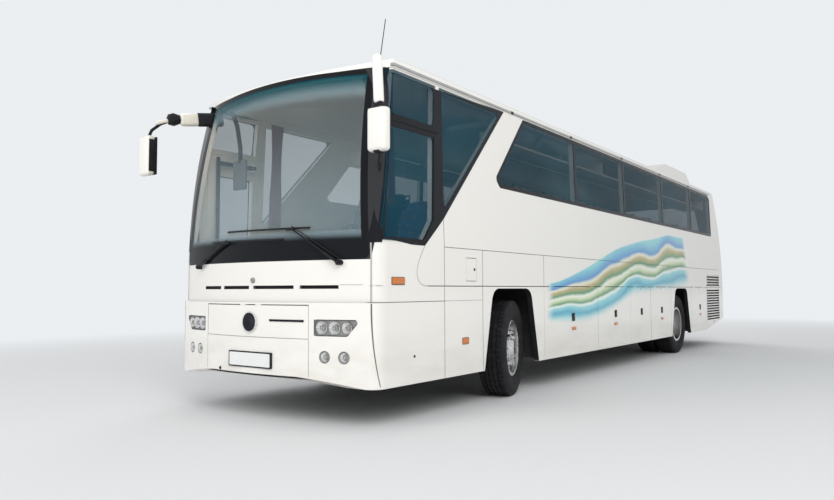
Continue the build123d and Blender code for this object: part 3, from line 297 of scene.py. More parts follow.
def rounded(points, radius, steps=4):
    """A closed outline with each corner replaced by a curve."""
    result = []
    for index, corner in enumerate(points):
        corner = Vector(corner)
        before = Vector(points[index - 1]) - corner
        after = Vector(points[(index + 1) % len(points)]) - corner
        reach = min(radius / tan(before.angle(after) / 2), 0.45 * before.length, 0.45 * after.length)
        start = corner + before.normalized() * reach
        end = corner + after.normalized() * reach
        for step in range(steps + 1):
            share = step / steps
            point = start * (1 - share) ** 2 + corner * 2 * share * (1 - share) + end * share ** 2
            result.append((point.x, point.y))
    return result


def facing(origin, direction):
    """The place of a piece whose own Z points in a direction."""
    turn = Vector(direction).to_track_quat("Z", "Y").to_matrix().to_4x4()
    return Matrix.Translation(Vector(origin)) @ turn


FINISHES = {}


class Piece:
    def __init__(self, name, body="body", slot=None, replaces=()):
        self.name = name
        self.body = body
        self.slot = slot
        self.replaced = replaces
        self.bm = bmesh.new()
        self.finishes = []

    def add(self, part, finish, places=(None,)):
        """Adds a part once at each place."""
        if finish not in self.finishes:
            self.finishes.append(finish)
        bmesh.ops.recalc_face_normals(part, faces=part.faces)
        for face in part.faces:
            face.material_index = self.finishes.index(finish)
            face.smooth = True
        for place in places:
            mesh = bpy.data.meshes.new("part")
            part.to_mesh(mesh)
            if place is not None:
                mesh.transform(place)
                if place.determinant() < 0:
                    mesh.flip_normals()
            self.bm.from_mesh(mesh)
            bpy.data.meshes.remove(mesh)
        part.free()

    def finish(self, sharp=40):
        """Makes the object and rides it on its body."""
        mesh = bpy.data.meshes.new(self.name)
        self.bm.to_mesh(mesh)
        self.bm.free()
        for name in self.finishes:
            mesh.materials.append(FINISHES[name])
        mesh.set_sharp_from_angle(angle=radians(sharp))
        piece = bpy.data.objects.new(self.name, mesh)
        bpy.context.scene.collection.objects.link(piece)
        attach(piece, self.body)
        if self.replaced:
            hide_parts(*self.replaced)
        return piece


# Materials


class Field:
    """A number that changes over a surface, worked out by math nodes."""

    def __init__(self, tree, socket):
        self.tree = tree
        self.socket = socket

    def math(self, operation, *values):
        node = self.tree.nodes.new("ShaderNodeMath")
        node.operation = operation
        for slot, value in zip(node.inputs, values):
            if isinstance(value, Field):
                self.tree.links.new(value.socket, slot)
            else:
                slot.default_value = value
        return Field(self.tree, node.outputs[0])

    def __add__(self, other):
        return self.math("ADD", self, other)

    def __sub__(self, other):
        return self.math("SUBTRACT", self, other)

    def __rsub__(self, other):
        return self.math("SUBTRACT", other, self)

    def __mul__(self, other):
        return self.math("MULTIPLY", self, other)

    def __truediv__(self, other):
        return self.math("DIVIDE", self, other)

    def size(self):
        return self.math("ABSOLUTE", self)

    def wave(self):
        return self.math("SINE", self)

    def most(self, other):
        return self.math("MAXIMUM", self, other)

    def step(self, low, high):
        """0 below low, 1 above high and smooth between; high may be the smaller one."""
        node = self.tree.nodes.new("ShaderNodeMapRange")
        node.interpolation_type = "SMOOTHSTEP"
        self.tree.links.new(self.socket, node.inputs["Value"])
        turned = high < low
        node.inputs["From Min"].default_value = min(low, high)
        node.inputs["From Max"].default_value = max(low, high)
        node.inputs["To Min"].default_value = 1.0 if turned else 0.0
        node.inputs["To Max"].default_value = 0.0 if turned else 1.0
        return Field(self.tree, node.outputs["Result"])


class Finish:
    """A material in the making, around one Principled shader."""

    def __init__(self, name, colour, roughness, metallic=0.0, coat=0.0, specular=0.5):
        self.material = bpy.data.materials.new(name)
        # Blender numbers the name where the frame has a material of that name, so it's kept by its own
        FINISHES[name] = self.material
        self.material.use_nodes = True
        self.tree = self.material.node_tree
        self.shader = self.tree.nodes["Principled BSDF"]
        self.colour = (*colour, 1.0)
        self.set("Base Color", self.colour)
        self.set("Roughness", roughness)
        self.set("Metallic", metallic)
        self.set("Coat Weight", coat)
        self.set("Coat Roughness", 0.04)
        self.set("Specular IOR Level", specular)
        self.coordinates = self.tree.nodes.new("ShaderNodeTexCoord")
        self.x, self.y, self.z = self.split("Object")

    def set(self, name, value):
        """Sets one of the shader's inputs."""
        self.shader.inputs[name].default_value = value

    def split(self, output):
        """The three parts of one of the coordinates."""
        node = self.tree.nodes.new("ShaderNodeSeparateXYZ")
        self.tree.links.new(self.coordinates.outputs[output], node.inputs[0])
        return [Field(self.tree, node.outputs[k]) for k in range(3)]

    def noise(self, scale, detail=3.0, stretch=(1, 1, 1)):
        """Noise over the object, finer with a larger scale."""
        mapping = self.tree.nodes.new("ShaderNodeMapping")
        mapping.inputs["Scale"].default_value = stretch
        self.tree.links.new(self.coordinates.outputs["Object"], mapping.inputs["Vector"])
        node = self.tree.nodes.new("ShaderNodeTexNoise")
        node.inputs["Scale"].default_value = scale
        node.inputs["Detail"].default_value = detail
        self.tree.links.new(mapping.outputs[0], node.inputs["Vector"])
        return Field(self.tree, node.outputs["Fac"])

    def tint(self, share, colour):
        """Mixes a colour in where share is 1."""
        node = self.tree.nodes.new("ShaderNodeMix")
        node.data_type = "RGBA"
        self.tree.links.new(share.socket, node.inputs["Factor"])
        base = self.shader.inputs["Base Color"]
        if base.is_linked:
            self.tree.links.new(base.links[0].from_socket, node.inputs["A"])
        else:
            node.inputs[6].default_value = self.colour
        if isinstance(colour, bpy.types.NodeSocket):
            self.tree.links.new(colour, node.inputs[7])
        else:
            node.inputs[7].default_value = (*colour, 1.0)
        self.tree.links.new(node.outputs[2], base)

    def ramp(self, value, stops):
        """A colour from a value by (place, colour) stops."""
        node = self.tree.nodes.new("ShaderNodeValToRGB")
        elements = node.color_ramp.elements
        for place, colour in stops[1:-1]:
            elements.new(place).color = (*colour, 1.0)
        ordered = sorted(elements, key=lambda element: element.position)
        for element, (place, colour) in zip(ordered, stops):
            element.position = place
            element.color = (*colour, 1.0)
        self.tree.links.new(value.socket, node.inputs["Fac"])
        return node.outputs["Color"]

    def drive(self, name, field):
        """Lets a field set one of the shader's inputs."""
        self.tree.links.new(field.socket, self.shader.inputs[name])

    def bump(self, height, strength, distance=0.001):
        """Relief from a height field."""
        node = self.tree.nodes.new("ShaderNodeBump")
        node.inputs["Strength"].default_value = strength
        node.inputs["Distance"].default_value = distance
        self.tree.links.new(height.socket, node.inputs["Height"])
        self.tree.links.new(node.outputs[0], self.shader.inputs["Normal"])

    def surface_mix(self, share, first, second):
        """Shows the second shader in place of the first where share is 1."""
        mix = self.tree.nodes.new("ShaderNodeMixShader")
        for place, socket in enumerate((share.socket, first, second)):
            self.tree.links.new(socket, mix.inputs[place])
        self.tree.links.new(mix.outputs[0], self.tree.nodes["Material Output"].inputs["Surface"])


TURN = 6.28
INK = (0.007, 0.008, 0.011)


def plain_finish(name, colour, roughness, shade, scale, metallic=0.0, specular=0.5, strength=0.2):
    """Uneven colour, uneven gloss and a fine relief, as every used surface has."""
    finish = Finish(name, colour, roughness[0], metallic, specular=specular)
    finish.tint(finish.noise(scale).step(0.35, 0.75) * 0.5, shade)
    low, high = roughness
    finish.drive("Roughness", finish.noise(scale * 3) * (high - low) + low)
    finish.bump(finish.noise(scale * 40, 2.0), strength)

def livery(finish, colours):
    """Broad generic waves that climb towards the rear on both sides."""
    distance = finish.y - FRONT
    middle = distance.step(3.6, 8.4) * 0.62 + (distance * 1.3 + 0.4).wave() * 0.05 + 1.02
    width = distance.step(3.1, 5.0) * 0.20 + 0.20 + (distance * 0.9).wave() * 0.03
    across = (finish.z - middle) / width
    crest = (distance * 2.4 + finish.z * 2.0).wave() * 0.13 + (distance * 5.3 - finish.z * 3.0).wave() * 0.05
    wash = finish.noise(1.8, 5.0, (1, 0.45, 1)) * 0.5 - 0.25
    flow = (across + crest + wash) * 0.5 + 0.5
    bands = finish.ramp(flow, (
        (0.00, colours.wave_light), (0.14, colours.wave_deep), (0.26, colours.wave_light),
        (0.31, (0.85, 0.90, 0.84)), (0.36, colours.wave_green), (0.44, (0.62, 0.72, 0.42)),
        (0.50, (0.86, 0.88, 0.78)), (0.56, colours.wave_green), (0.66, colours.wave_sand),
        (0.74, (0.80, 0.80, 0.62)), (0.80, colours.wave_sky), (1.00, colours.wave_light)))
    below = (across + crest * 0.4 + wash * 0.6).step(-1.15, -0.72)
    above = (across + crest * 0.3).step(1.06, 0.98)
    ends = (distance + wash * 1.6).step(3.2, 3.45) * (distance + wash * 1.4).step(9.15, 8.9)
    finish.tint(below * above * ends, bands)


def body_paint(name, colours, waves=False, black_posts=False):
    """Glossy warm white with road film below, lined inside, with waves or black posts where asked."""
    finish = Finish(name, colours.paint, 0.2, coat=0.5)
    finish.tint(finish.noise(0.7) * 0.10, (0.72, 0.70, 0.64))
    if waves:
        livery(finish, colours)
        # The wall is black ahead of the cab's glass
        ahead = (finish.y - FRONT - finish.z * 0.1313).step(0.066, 0.062)
        finish.tint(ahead * finish.z.step(1.512, 1.514) * finish.z.step(3.032, 3.028), INK)
    film = finish.z.step(1.0, 0.3) * finish.noise(3.0, 5.0, (1, 0.4, 2.0)).step(0.3, 0.8)
    finish.tint(film * 0.35, (0.50, 0.46, 0.38))
    if black_posts:
        beside = finish.z.step(1.374, 1.377) * finish.x.size().step(1.224, 1.222)
        finish.tint(finish.z.step(1.511, 1.513).most(beside), (0.010, 0.011, 0.013))
    # How much the surface looks outwards, by its own normal and its place about the coach's middle
    nx, ny, nz = finish.split("Normal")
    face = nx * finish.x / 1.2 + ny * finish.y / 5.9 + nz * (finish.z - 1.9) / 1.4
    inner = face.step(-0.12, -0.2)
    finish.tint(inner, colours.lining)
    finish.tint(inner * finish.z.step(1.24, 1.2), (0.05, 0.05, 0.052))
    finish.drive("Roughness", finish.noise(4.0) * 0.06 + 0.15 + inner * 0.5)
    finish.bump(finish.noise(260.0, 1.0), 0.02)

def side_glass_finish(name):
    """Dark teal glass that shows a little of the cabin."""
    finish = Finish(name, (0.003, 0.050, 0.080), 0.03)
    finish.set("IOR", 1.20)
    finish.set("Alpha", 0.44)
    finish.tint(finish.noise(0.6, 2.0, (1, 1, 2.5)).step(0.4, 0.7) * 0.6, (0.010, 0.100, 0.145))
    finish.bump(finish.noise(1.3, 1.0), 0.06, 0.02)

def screen_finish(name, sizes):
    """Clear, slightly grey glass with a black rim, a black foot and a teal sun band."""
    finish = Finish(name, (0.42, 0.56, 0.62), 0.03)
    finish.set("IOR", 1.25)
    z, x = finish.z, finish.x.size()
    edge = 1.19 - (z - SCREEN_FOOT) * (0.115 / 1.65)
    crown = 3.052 - x * x * 0.024
    blur = 0.004
    side_rim = (edge - x).step(sizes.screen_rim + blur, sizes.screen_rim - blur)
    rim = side_rim.most((crown - z).step(sizes.screen_top_rim + blur, sizes.screen_top_rim - blur))
    foot = z.step(1.66, 1.54)
    band = (crown - z).step(sizes.sun_band + 0.10, sizes.sun_band - 0.10)
    finish.tint(band, (0.006, 0.085, 0.105))
    dark = rim.most(foot)
    finish.tint(dark, (0.008, 0.009, 0.011))
    veil = z.step(2.7, 1.7) * 0.10 + 0.06
    clear = finish.tree.nodes.new("ShaderNodeBsdfTransparent")
    finish.surface_mix((band * 0.55 + veil).most(dark), clear.outputs[0], finish.shader.outputs[0])

def lens_finish(name, colour, alpha):
    """Clear or coloured lens plastic with fine flutes."""
    finish = Finish(name, colour, 0.05, coat=0.6, specular=0.7)
    finish.set("Alpha", alpha)
    finish.tint(finish.noise(8.0) * 0.2, [value * 0.8 for value in colour])
    finish.bump((finish.x * 90.0 * TURN).wave(), 0.12, 0.001)

def tyre_finish(name):
    """Matt rubber with dust in patches and a fine relief."""
    finish = Finish(name, (0.011, 0.011, 0.013), 0.75, specular=0.3)
    finish.tint(finish.noise(9.0, 5.0).step(0.42, 0.75) * 0.35, (0.045, 0.042, 0.038))
    finish.drive("Roughness", finish.noise(20.0) * 0.2 + 0.65)
    finish.bump(finish.noise(180.0, 3.0), 0.25)

def rim_finish(name):
    """Bright polished aluminium with brushed grain and brake dust."""
    finish = Finish(name, (0.80, 0.80, 0.79), 0.24, metallic=1.0)
    finish.tint(finish.noise(5.0, 4.0).step(0.5, 0.8) * 0.5, (0.52, 0.49, 0.45))
    finish.drive("Roughness", finish.noise(40.0, 2.0, (1, 6, 6)) * 0.14 + 0.16)
    finish.bump(finish.noise(90.0, 2.0, (1, 8, 8)), 0.05)

def woven_finish(name, colour, accent, scale):
    """Cloth with threads both ways and a sparse figure."""
    finish = Finish(name, colour, 0.85)
    finish.set("Sheen Weight", 0.4)
    threads = (finish.y * scale * TURN).wave() * (finish.z * scale * TURN).wave()
    finish.tint(finish.noise(26.0, 1.0).step(0.60, 0.66), accent)
    finish.tint(threads.step(-0.2, 0.6) * 0.25, [value * 0.6 for value in colour])
    finish.bump(threads, 0.3, 0.0008)

def curtain_finish(name, colour):
    """Soft cloth that is darker in patches."""
    finish = Finish(name, colour, 0.9)
    finish.set("Sheen Weight", 0.5)
    finish.tint(finish.noise(14.0, 3.0).step(0.4, 0.7) * 0.3, [value * 0.55 for value in colour])
    finish.bump((finish.y * 4200.0).wave() + (finish.z * 4200.0).wave(), 0.2, 0.0004)

def louvre_finish(name, pitch):
    """Dark metal mesh, woven finely."""
    finish = Finish(name, (0.02, 0.02, 0.021), 0.55)
    mesh = (finish.y * (TURN / pitch)).wave() * (finish.z * (TURN / pitch)).wave()
    finish.tint(mesh.step(0.0, 0.5) * 0.6, (0.055, 0.055, 0.058))
    finish.bump(mesh, 0.5, 0.002)

# Plain finishes: colour, roughness from and to, colour and scale of the wear; metallic, specular, relief
PLAIN = {
    "chrome": ((0.88, 0.88, 0.88), (0.04, 0.12), (0.70, 0.70, 0.70), 9.0, 1.0),
    "silver_plastic": ((0.30, 0.295, 0.28), (0.25, 0.4), (0.22, 0.215, 0.20), 8.0),
    "gloss_black": (INK, (0.12, 0.2), (0.012, 0.013, 0.017), 3.0, 0.0, 0.22, 0.04),
    "trim_black": ((0.010, 0.010, 0.012), (0.4, 0.55), (0.018, 0.018, 0.020), 14.0, 0.0, 0.3),
    "seam_shadow": ((0.13, 0.125, 0.115), (0.6, 0.8), (0.18, 0.17, 0.155), 8.0),
    # The crease shade is painted shade: grey strips where pressed creases and gaps fall into shade
    "crease_shade": ((0.42, 0.41, 0.385), (0.3, 0.4), (0.36, 0.35, 0.33), 5.0),
    "window_rubber": ((0.012, 0.012, 0.013), (0.6, 0.8), (0.022, 0.022, 0.023), 20.0, 0.0, 0.3),
    # The gutter's grey is painted shade of the underside of the roof's shoulder
    "gutter_shade": ((0.36, 0.36, 0.35), (0.3, 0.45), (0.28, 0.28, 0.27), 4.0),
    "chassis_paint": ((0.03, 0.03, 0.032), (0.55, 0.8), (0.085, 0.072, 0.058), 3.0),
    "floor_covering": ((0.10, 0.10, 0.105), (0.5, 0.7), (0.15, 0.145, 0.14), 5.0),
    "dash_plastic": ((0.06, 0.06, 0.063), (0.5, 0.65), (0.085, 0.085, 0.086), 12.0),
    "blank_plate": ((0.78, 0.78, 0.77), (0.25, 0.35), (0.70, 0.70, 0.69), 6.0),
    "mirror_glass": ((0.75, 0.77, 0.78), (0.02, 0.04), (0.70, 0.72, 0.73), 3.0, 1.0, 0.5, 0.0),
    "seat_shell": ((0.10, 0.10, 0.11), (0.5, 0.65), (0.14, 0.14, 0.14), 9.0),
}


def make_finishes(context):
    """Makes every material."""
    colours = context.scene.coach_colours
    for name, values in PLAIN.items():
        plain_finish(name, *values)
    plain_finish("cabin_lining", colours.lining, (0.6, 0.8), (0.50, 0.46, 0.38), 5.0)
    body_paint("body_paint", colours)
    body_paint("side_paint", colours, waves=True)
    body_paint("front_paint", colours, black_posts=True)
    side_glass_finish("side_glass")
    screen_finish("windscreen_glass", context.scene.coach_sizes)
    lens_finish("clear_lens", (0.80, 0.80, 0.77), 0.10)
    lens_finish("amber_lens", (0.62, 0.17, 0.012), 0.95)
    lens_finish("red_lens", (0.55, 0.012, 0.010), 0.95)
    tyre_finish("tyre_rubber")
    rim_finish("rim_aluminium")
    louvre_finish("louvre_mesh", 0.012)
    woven_finish("seat_moquette", (0.035, 0.060, 0.16), (0.28, 0.10, 0.08), 160.0)
    curtain_finish("curtain_cloth", colours.curtain)


# The fixed nodes by their finish. The flaps of the sides, which aren't listed, take the side's paint.
NODE_FINISHES = {
    "body_paint": ("roof", "front_roof_hatch", "rear_roof_hatch", "air_conditioner", "front_bumper", "front_flap",
                   "rear_panel", "rear_bumper", "engine_door", "fuel_flap"),
    "front_paint": ("front_panel",),
    "side_paint": ("left_side_wall", "right_side_wall", "skirts", "front_door", "middle_door"),
    "windscreen_glass": ("windscreen",),
    "side_glass": ("side_windows", "rear_window", "front_door_glass", "middle_door_glass"),
    "floor_covering": ("floor_deck", "luggage_hold"),
    "chassis_paint": ("underframe", "engine_block", "wheel_housings", "front_axle", "rear_axle",
                      "front_left_knuckle", "front_right_knuckle"),
    "window_rubber": ("air_springs",),
    "trim_black": ("front_door_arm", "middle_door_arm", "steering_wheel", "antenna"),
    "dash_plastic": ("dashboard",),
    "cabin_lining": ("luggage_racks",),
}


# Sizes and colours that a user would change


def colour(label, description, default):
    """A colour of the panel."""
    return FloatVectorProperty(name=label, description=description, subtype="COLOR", default=default)


def length(label, description, default):
    """A length of the panel, in metres."""
    return FloatProperty(name=label, description=description, unit="LENGTH", default=default)


class CoachColours(bpy.types.PropertyGroup):
    """Colours of the coach's finishes."""

    paint: colour("Paint", "Warm white of the body", (0.84, 0.815, 0.765))
    lining: colour("Lining", "Cream of the cabin's walls", (0.72, 0.67, 0.57))
    curtain: colour("Curtains", "Dark red of the curtains", (0.20, 0.018, 0.022))
    wave_deep: colour("Deep wave", "Strong turquoise", (0.01, 0.36, 0.52))
    wave_light: colour("Light wave", "Pale turquoise", (0.22, 0.64, 0.68))
    wave_green: colour("Green wave", "Leaf green", (0.04, 0.26, 0.09))
    wave_sand: colour("Sand wave", "Sand yellow", (0.46, 0.38, 0.14))
    wave_sky: colour("Sky wave", "Clear blue", (0.05, 0.26, 0.60))


class CoachSizes(bpy.types.PropertyGroup):
    """Sizes of the fittings."""

    seam_width: length("Seam", "Width of a panel seam", 0.006)
    line_proud: length("Line proud", "How far drawn lines stand proud", 0.0008)
    screen_rim: length("Screen rim", "Width of the windscreen's black rim", 0.065)
    screen_top_rim: length("Screen top rim", "Width of the black rim at the top", 0.048)
    sun_band: length("Sun band", "Height of the windscreen's teal band", 0.18)
    latch_height: length("Latch", "Height of a flap's latch", 0.100)
    latch_width: length("Latch width", "Width of a flap's latch", 0.090)
    plate_width: length("Plate width", "Width of the number plate", 0.53)
    plate_height: length("Plate height", "Height of the number plate", 0.125)


class COACH_OT_fixed_finishes(bpy.types.Operator):
    """Gives every fixed node its finish"""

    bl_idname = "coach.fixed_finishes"
    bl_label = "Finishes of the fixed frame"

    def execute(self, context):
        make_finishes(context)
        chosen = {name: finish for finish, names in NODE_FINISHES.items() for name in names}
        for name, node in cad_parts.items():
            finish = chosen.get(name, "side_paint" if "_flap" in name else None)
            if finish is None:
                continue
            if not node.material_slots:
                node.data.materials.append(FINISHES[finish])
            for slot in node.material_slots:
                slot.material = FINISHES[finish]
        return {"FINISHED"}


# Seams and flat lines

FLAP_SEAM = 1.163
SKIRT_SEAM = 1.155
DOOR_EDGE = 1.2
# Straight seams: start and end as distance and height
STRAIGHT_SEAMS = (
    ((1.18, WAIST), (11.45, WAIST)), ((1.856, WAIST), (1.856, FLAP_SEAM)), ((3.219, WAIST), (3.219, FLAP_SEAM)),
    ((0.21, 1.023), (1.18, 1.023)), ((1.18, SKIRT_SEAM), (1.18, SKIRT_BOTTOM)),
    ((1.856, SKIRT_SEAM), (1.856, SKIRT_BOTTOM)),
)


def side_strip(piece, finish, side, start, end, width, proud):
    """A straight line on a side between two (distance, height) points."""
    start, end = Vector(start), Vector(end)
    across = (end - start).orthogonal().normalized() * width / 2

    def place(u, v):
        spot = start.lerp(end, u) + across * (2 * v - 1)
        return flank(side, spot.x, spot.y, proud)

    columns = 40 if min(start.x, end.x) < 0.45 else max(1, floor((end - start).length * 3))
    piece.add(sheet(columns, 1, place, (-side * (proud + 0.001), 0, 0)), finish)


def side_curve(piece, finish, side, knots, width, proud):
    """A curved line on a side through four control points."""
    first, second, third, last = (Vector(knot) for knot in knots)

    def place(u, v):
        rest = 1 - u
        spot = first * rest ** 3 + second * 3 * u * rest ** 2 + third * 3 * u * u * rest + last * u ** 3
        slope = (second - first) * rest ** 2 + (third - second) * 2 * u * rest + (last - third) * u * u
        spot += slope.orthogonal().normalized() * width * (v - 0.5)
        return flank(side, spot.x, spot.y, proud)

    piece.add(sheet(16, 1, place, (-side * (proud + 0.001), 0, 0)), finish)


class COACH_OT_seams(bpy.types.Operator):
    """Draws the seams, creases and pressed lines of the sides, the front and the rear, as strips of painted shade"""

    bl_idname = "coach.seams"
    bl_label = "Seams"

    def execute(self, context):
        sizes = context.scene.coach_sizes
        width, proud = sizes.seam_width, sizes.line_proud
        seams = Piece("panel_seams", slot="body_white")
        for side in SIDES:
            for start, end in STRAIGHT_SEAMS:
                if side == RIGHT:
                    # The front door's opening cuts the seams on the right
                    if end[0] < DOOR_EDGE:
                        continue
                    start = (max(start[0], DOOR_EDGE), start[1])
                side_strip(seams, "seam_shadow", side, start, end, width, proud)
            # The pressed crease is a grey strip of painted shade
            side_strip(seams, "crease_shade", side, (0.226, 1.51), (0.226, 1.03), width * 0.7, proud)
            corner = ((0.206, 1.015), (0.206, 0.80), (0.214, 0.55), (0.264, 0.345))
            side_curve(seams, "seam_shadow", side, corner, width, proud)
        for high, low in ((1.765, WAIST), (WAIST, SKIRT_SEAM)):
            side_strip(seams, "seam_shadow", LEFT, (1.18, high), (1.18, low), width, proud)
        # The swage curve and the line under the door are grey strips of painted shade
        swage = ((0.873, 1.51), (0.70, 1.30), (0.72, 1.158), (0.92, 1.158))
        side_curve(seams, "crease_shade", LEFT, swage, width * 1.4, proud)
        side_strip(seams, "crease_shade", LEFT, (1.18, 1.023), (1.856, 1.023), width, proud)
        # Pressed lines of the nose and the stern are grey strips of painted shade
        for x in (-0.663, 0.663):
            line = (x - width / 2, x + width / 2)
            seams.add(patch(nose, line, (0.405, 0.71), proud, (0, 0.002, 0), 1, 6), "crease_shade")
        seams.add(patch(nose, (0.93, 1.13), (1.167, 1.171), proud, (0, 0.002, 0), 24), "crease_shade")
        for x in (-0.72, 0.72):
            line = (x - width / 2, x + width / 2)
            seams.add(patch(stern, line, (1.55, 2.15), proud, (0, -0.002, 0), 1, 12), "crease_shade")
        seams.finish()

        covers = Piece("panel_joints", slot="body_white")
        # The flap line's gap is closed ahead of the swage curve, where the panel is one piece
        covers.add(patch(partial(flank, LEFT), (0.232, 0.882), (1.152, 1.166), 0.0002, (-0.02, 0, 0)), "body_paint")
        # Filler behind the gaps round the front flap, grey with painted shade, so that they read as thin lines
        for line in ((0.655, 0.665), (-0.665, -0.655)):
            covers.add(patch(nose, line, (0.712, 1.002), -0.004, (0, 0.006, 0), 1, 8), "crease_shade")
        covers.add(patch(nose, (-0.664, 0.664), (0.712, 0.721), -0.004, (0, 0.006, 0), 40), "crease_shade")
        # A black strip of painted shadow along the foot of the front bumper
        covers.add(patch(nose, (-1.02, 1.02), (0.384, 0.402), -0.006, (0, 0.020, 0), 48), "trim_black")
        covers.finish()
        return {"FINISHED"}


class COACH_OT_arch_lips(bpy.types.Operator):
    """Makes the black rubber lips round the wheel arches"""

    bl_idname = "coach.arch_lips"
    bl_label = "Wheel arch lips"

    def execute(self, context):
        lips = Piece("wheel_arch_lips", slot="black_plastic")
        for side in SIDES:
            for axle, foot, top in ARCHES:
                slope = (foot - top) / (ARCH_TOP - SKIRT_BOTTOM)
                spread = foot + slope * SKIRT_BOTTOM
                corners = rounded(((axle - spread, 0), (axle - top, ARCH_TOP), (axle + top, ARCH_TOP),
                                   (axle + spread, 0)), 0.15, 8)[9:-9]
                points = [(axle - foot, SKIRT_BOTTOM), *corners, (axle + foot, SKIRT_BOTTOM)]
                centre = Vector((axle, 0.7))
                steps = len(points) - 1

                def band(u, v):
                    spot = Vector(points[round(u * steps)])
                    spot += (centre - spot).normalized() * 0.003
                    return flank(side, spot.x, spot.y, 0.001 - 0.060 * v)

                lips.add(sheet(steps, 1, band, 0.004), "window_rubber")
        lips.finish()
        return {"FINISHED"}


def band_panes():
    """The openings of the black band along the passenger windows."""
    panes = []
    for low, high in zip(BAND_EDGES, BAND_EDGES[1:]):
        left, right = low + DIVIDER_HALF, high - DIVIDER_HALF
        if low == BAND_EDGES[0]:
            pane = ((2.27, PANE_BOTTOM), (right, PANE_BOTTOM), (right, PANE_TOP), (2.86, PANE_TOP), (2.235, 2.30))
        elif high == BAND_EDGES[-1]:
            pane = ((left, PANE_BOTTOM), (right, PANE_BOTTOM), (right, PANE_TOP - 0.05), (right - 0.09, PANE_TOP),
                    (left, PANE_TOP))
        else:
            pane = rectangle((left, right), (PANE_BOTTOM, PANE_TOP))
        panes.append(rounded(pane, 0.03))
    return panes


class COACH_OT_glazing_trim(bpy.types.Operator):
    """Makes the black surrounds, dividers, rubbers and gutter rails of the side glass"""

    bl_idname = "coach.glazing_trim"
    bl_label = "Glazing trim"

    def execute(self, context):
        trim = Piece("glazing_trim", slot="black_plastic")
        for side in SIDES:
            def lift(distance, z):
                return flank(side, distance, z, 0.0012)

            def post(u, v):
                z = 1.514 + 1.516 * v
                seam = 0.225 + 0.215 * (z - SCREEN_FOOT) / 1.668
                return flank(side, seam - 0.03 + 0.075 * u, z, 0.0014)

            holes = [rounded(QUARTER_PANE, 0.05), rounded(REAR_TRIANGLE, 0.04)]
            if side == LEFT:
                holes.append(rounded(DRIVER_PANE, 0.04))
            zone = CAB_ZONE if side == LEFT else DOOR_SIDE_ZONE
            depth = (-side * 0.0095, 0, 0)
            trim.add(plate(rounded(zone, 0.006, 2), holes, lift, depth), "gloss_black")
            trim.add(plate(rounded(BAND, 0.05), band_panes(), lift, depth), "gloss_black")
            trim.add(sheet(16, 24, post, (-side * 0.004, 0, 0)), "gloss_black")
        # Rubber bars round the driver's pane
        for start, end in (((0.292, 1.552), (0.86, 1.552)), ((0.86, 1.552), (1.015, 1.748)),
                           ((0.30, 1.566), (0.425, 2.515)), ((1.015, 1.748), (1.06, 2.515)),
                           ((0.43, 2.562), (1.12, 2.562))):
            trim.add(bar([flank(LEFT, *start, 0.001), flank(LEFT, *end, 0.001)], 0.009), "window_rubber")
        trim.finish()

        rails = Piece("gutter_rails", slot="body_white")
        for side in SIDES:
            # The rails stand proud under the roof's edge; their grey is painted shade, the shaded lower part of the
            # roof's shoulder
            rails.add(side_block(side, (-0.07, -0.0365), (0.47, 10.92), (3.036, 3.062), 0.006), "gutter_shade")
            for spot in (2.55, 4.1, 5.9, 7.7, 9.4):
                clip = side_block(side, (-0.045, -0.0345), (spot, spot + 0.05), (3.034, 3.064), 0.002)
                rails.add(clip, "trim_black")
        rails.finish()
        return {"FINISHED"}


# The nose: plate, badge disc, vents and covers

PLATE_LOW = 0.452
FLAP_DISC_HEIGHT = 0.847
VENTS = ((-0.772, -0.480), (-0.429, -0.055), (-0.002, 0.479), (0.540, 0.919))


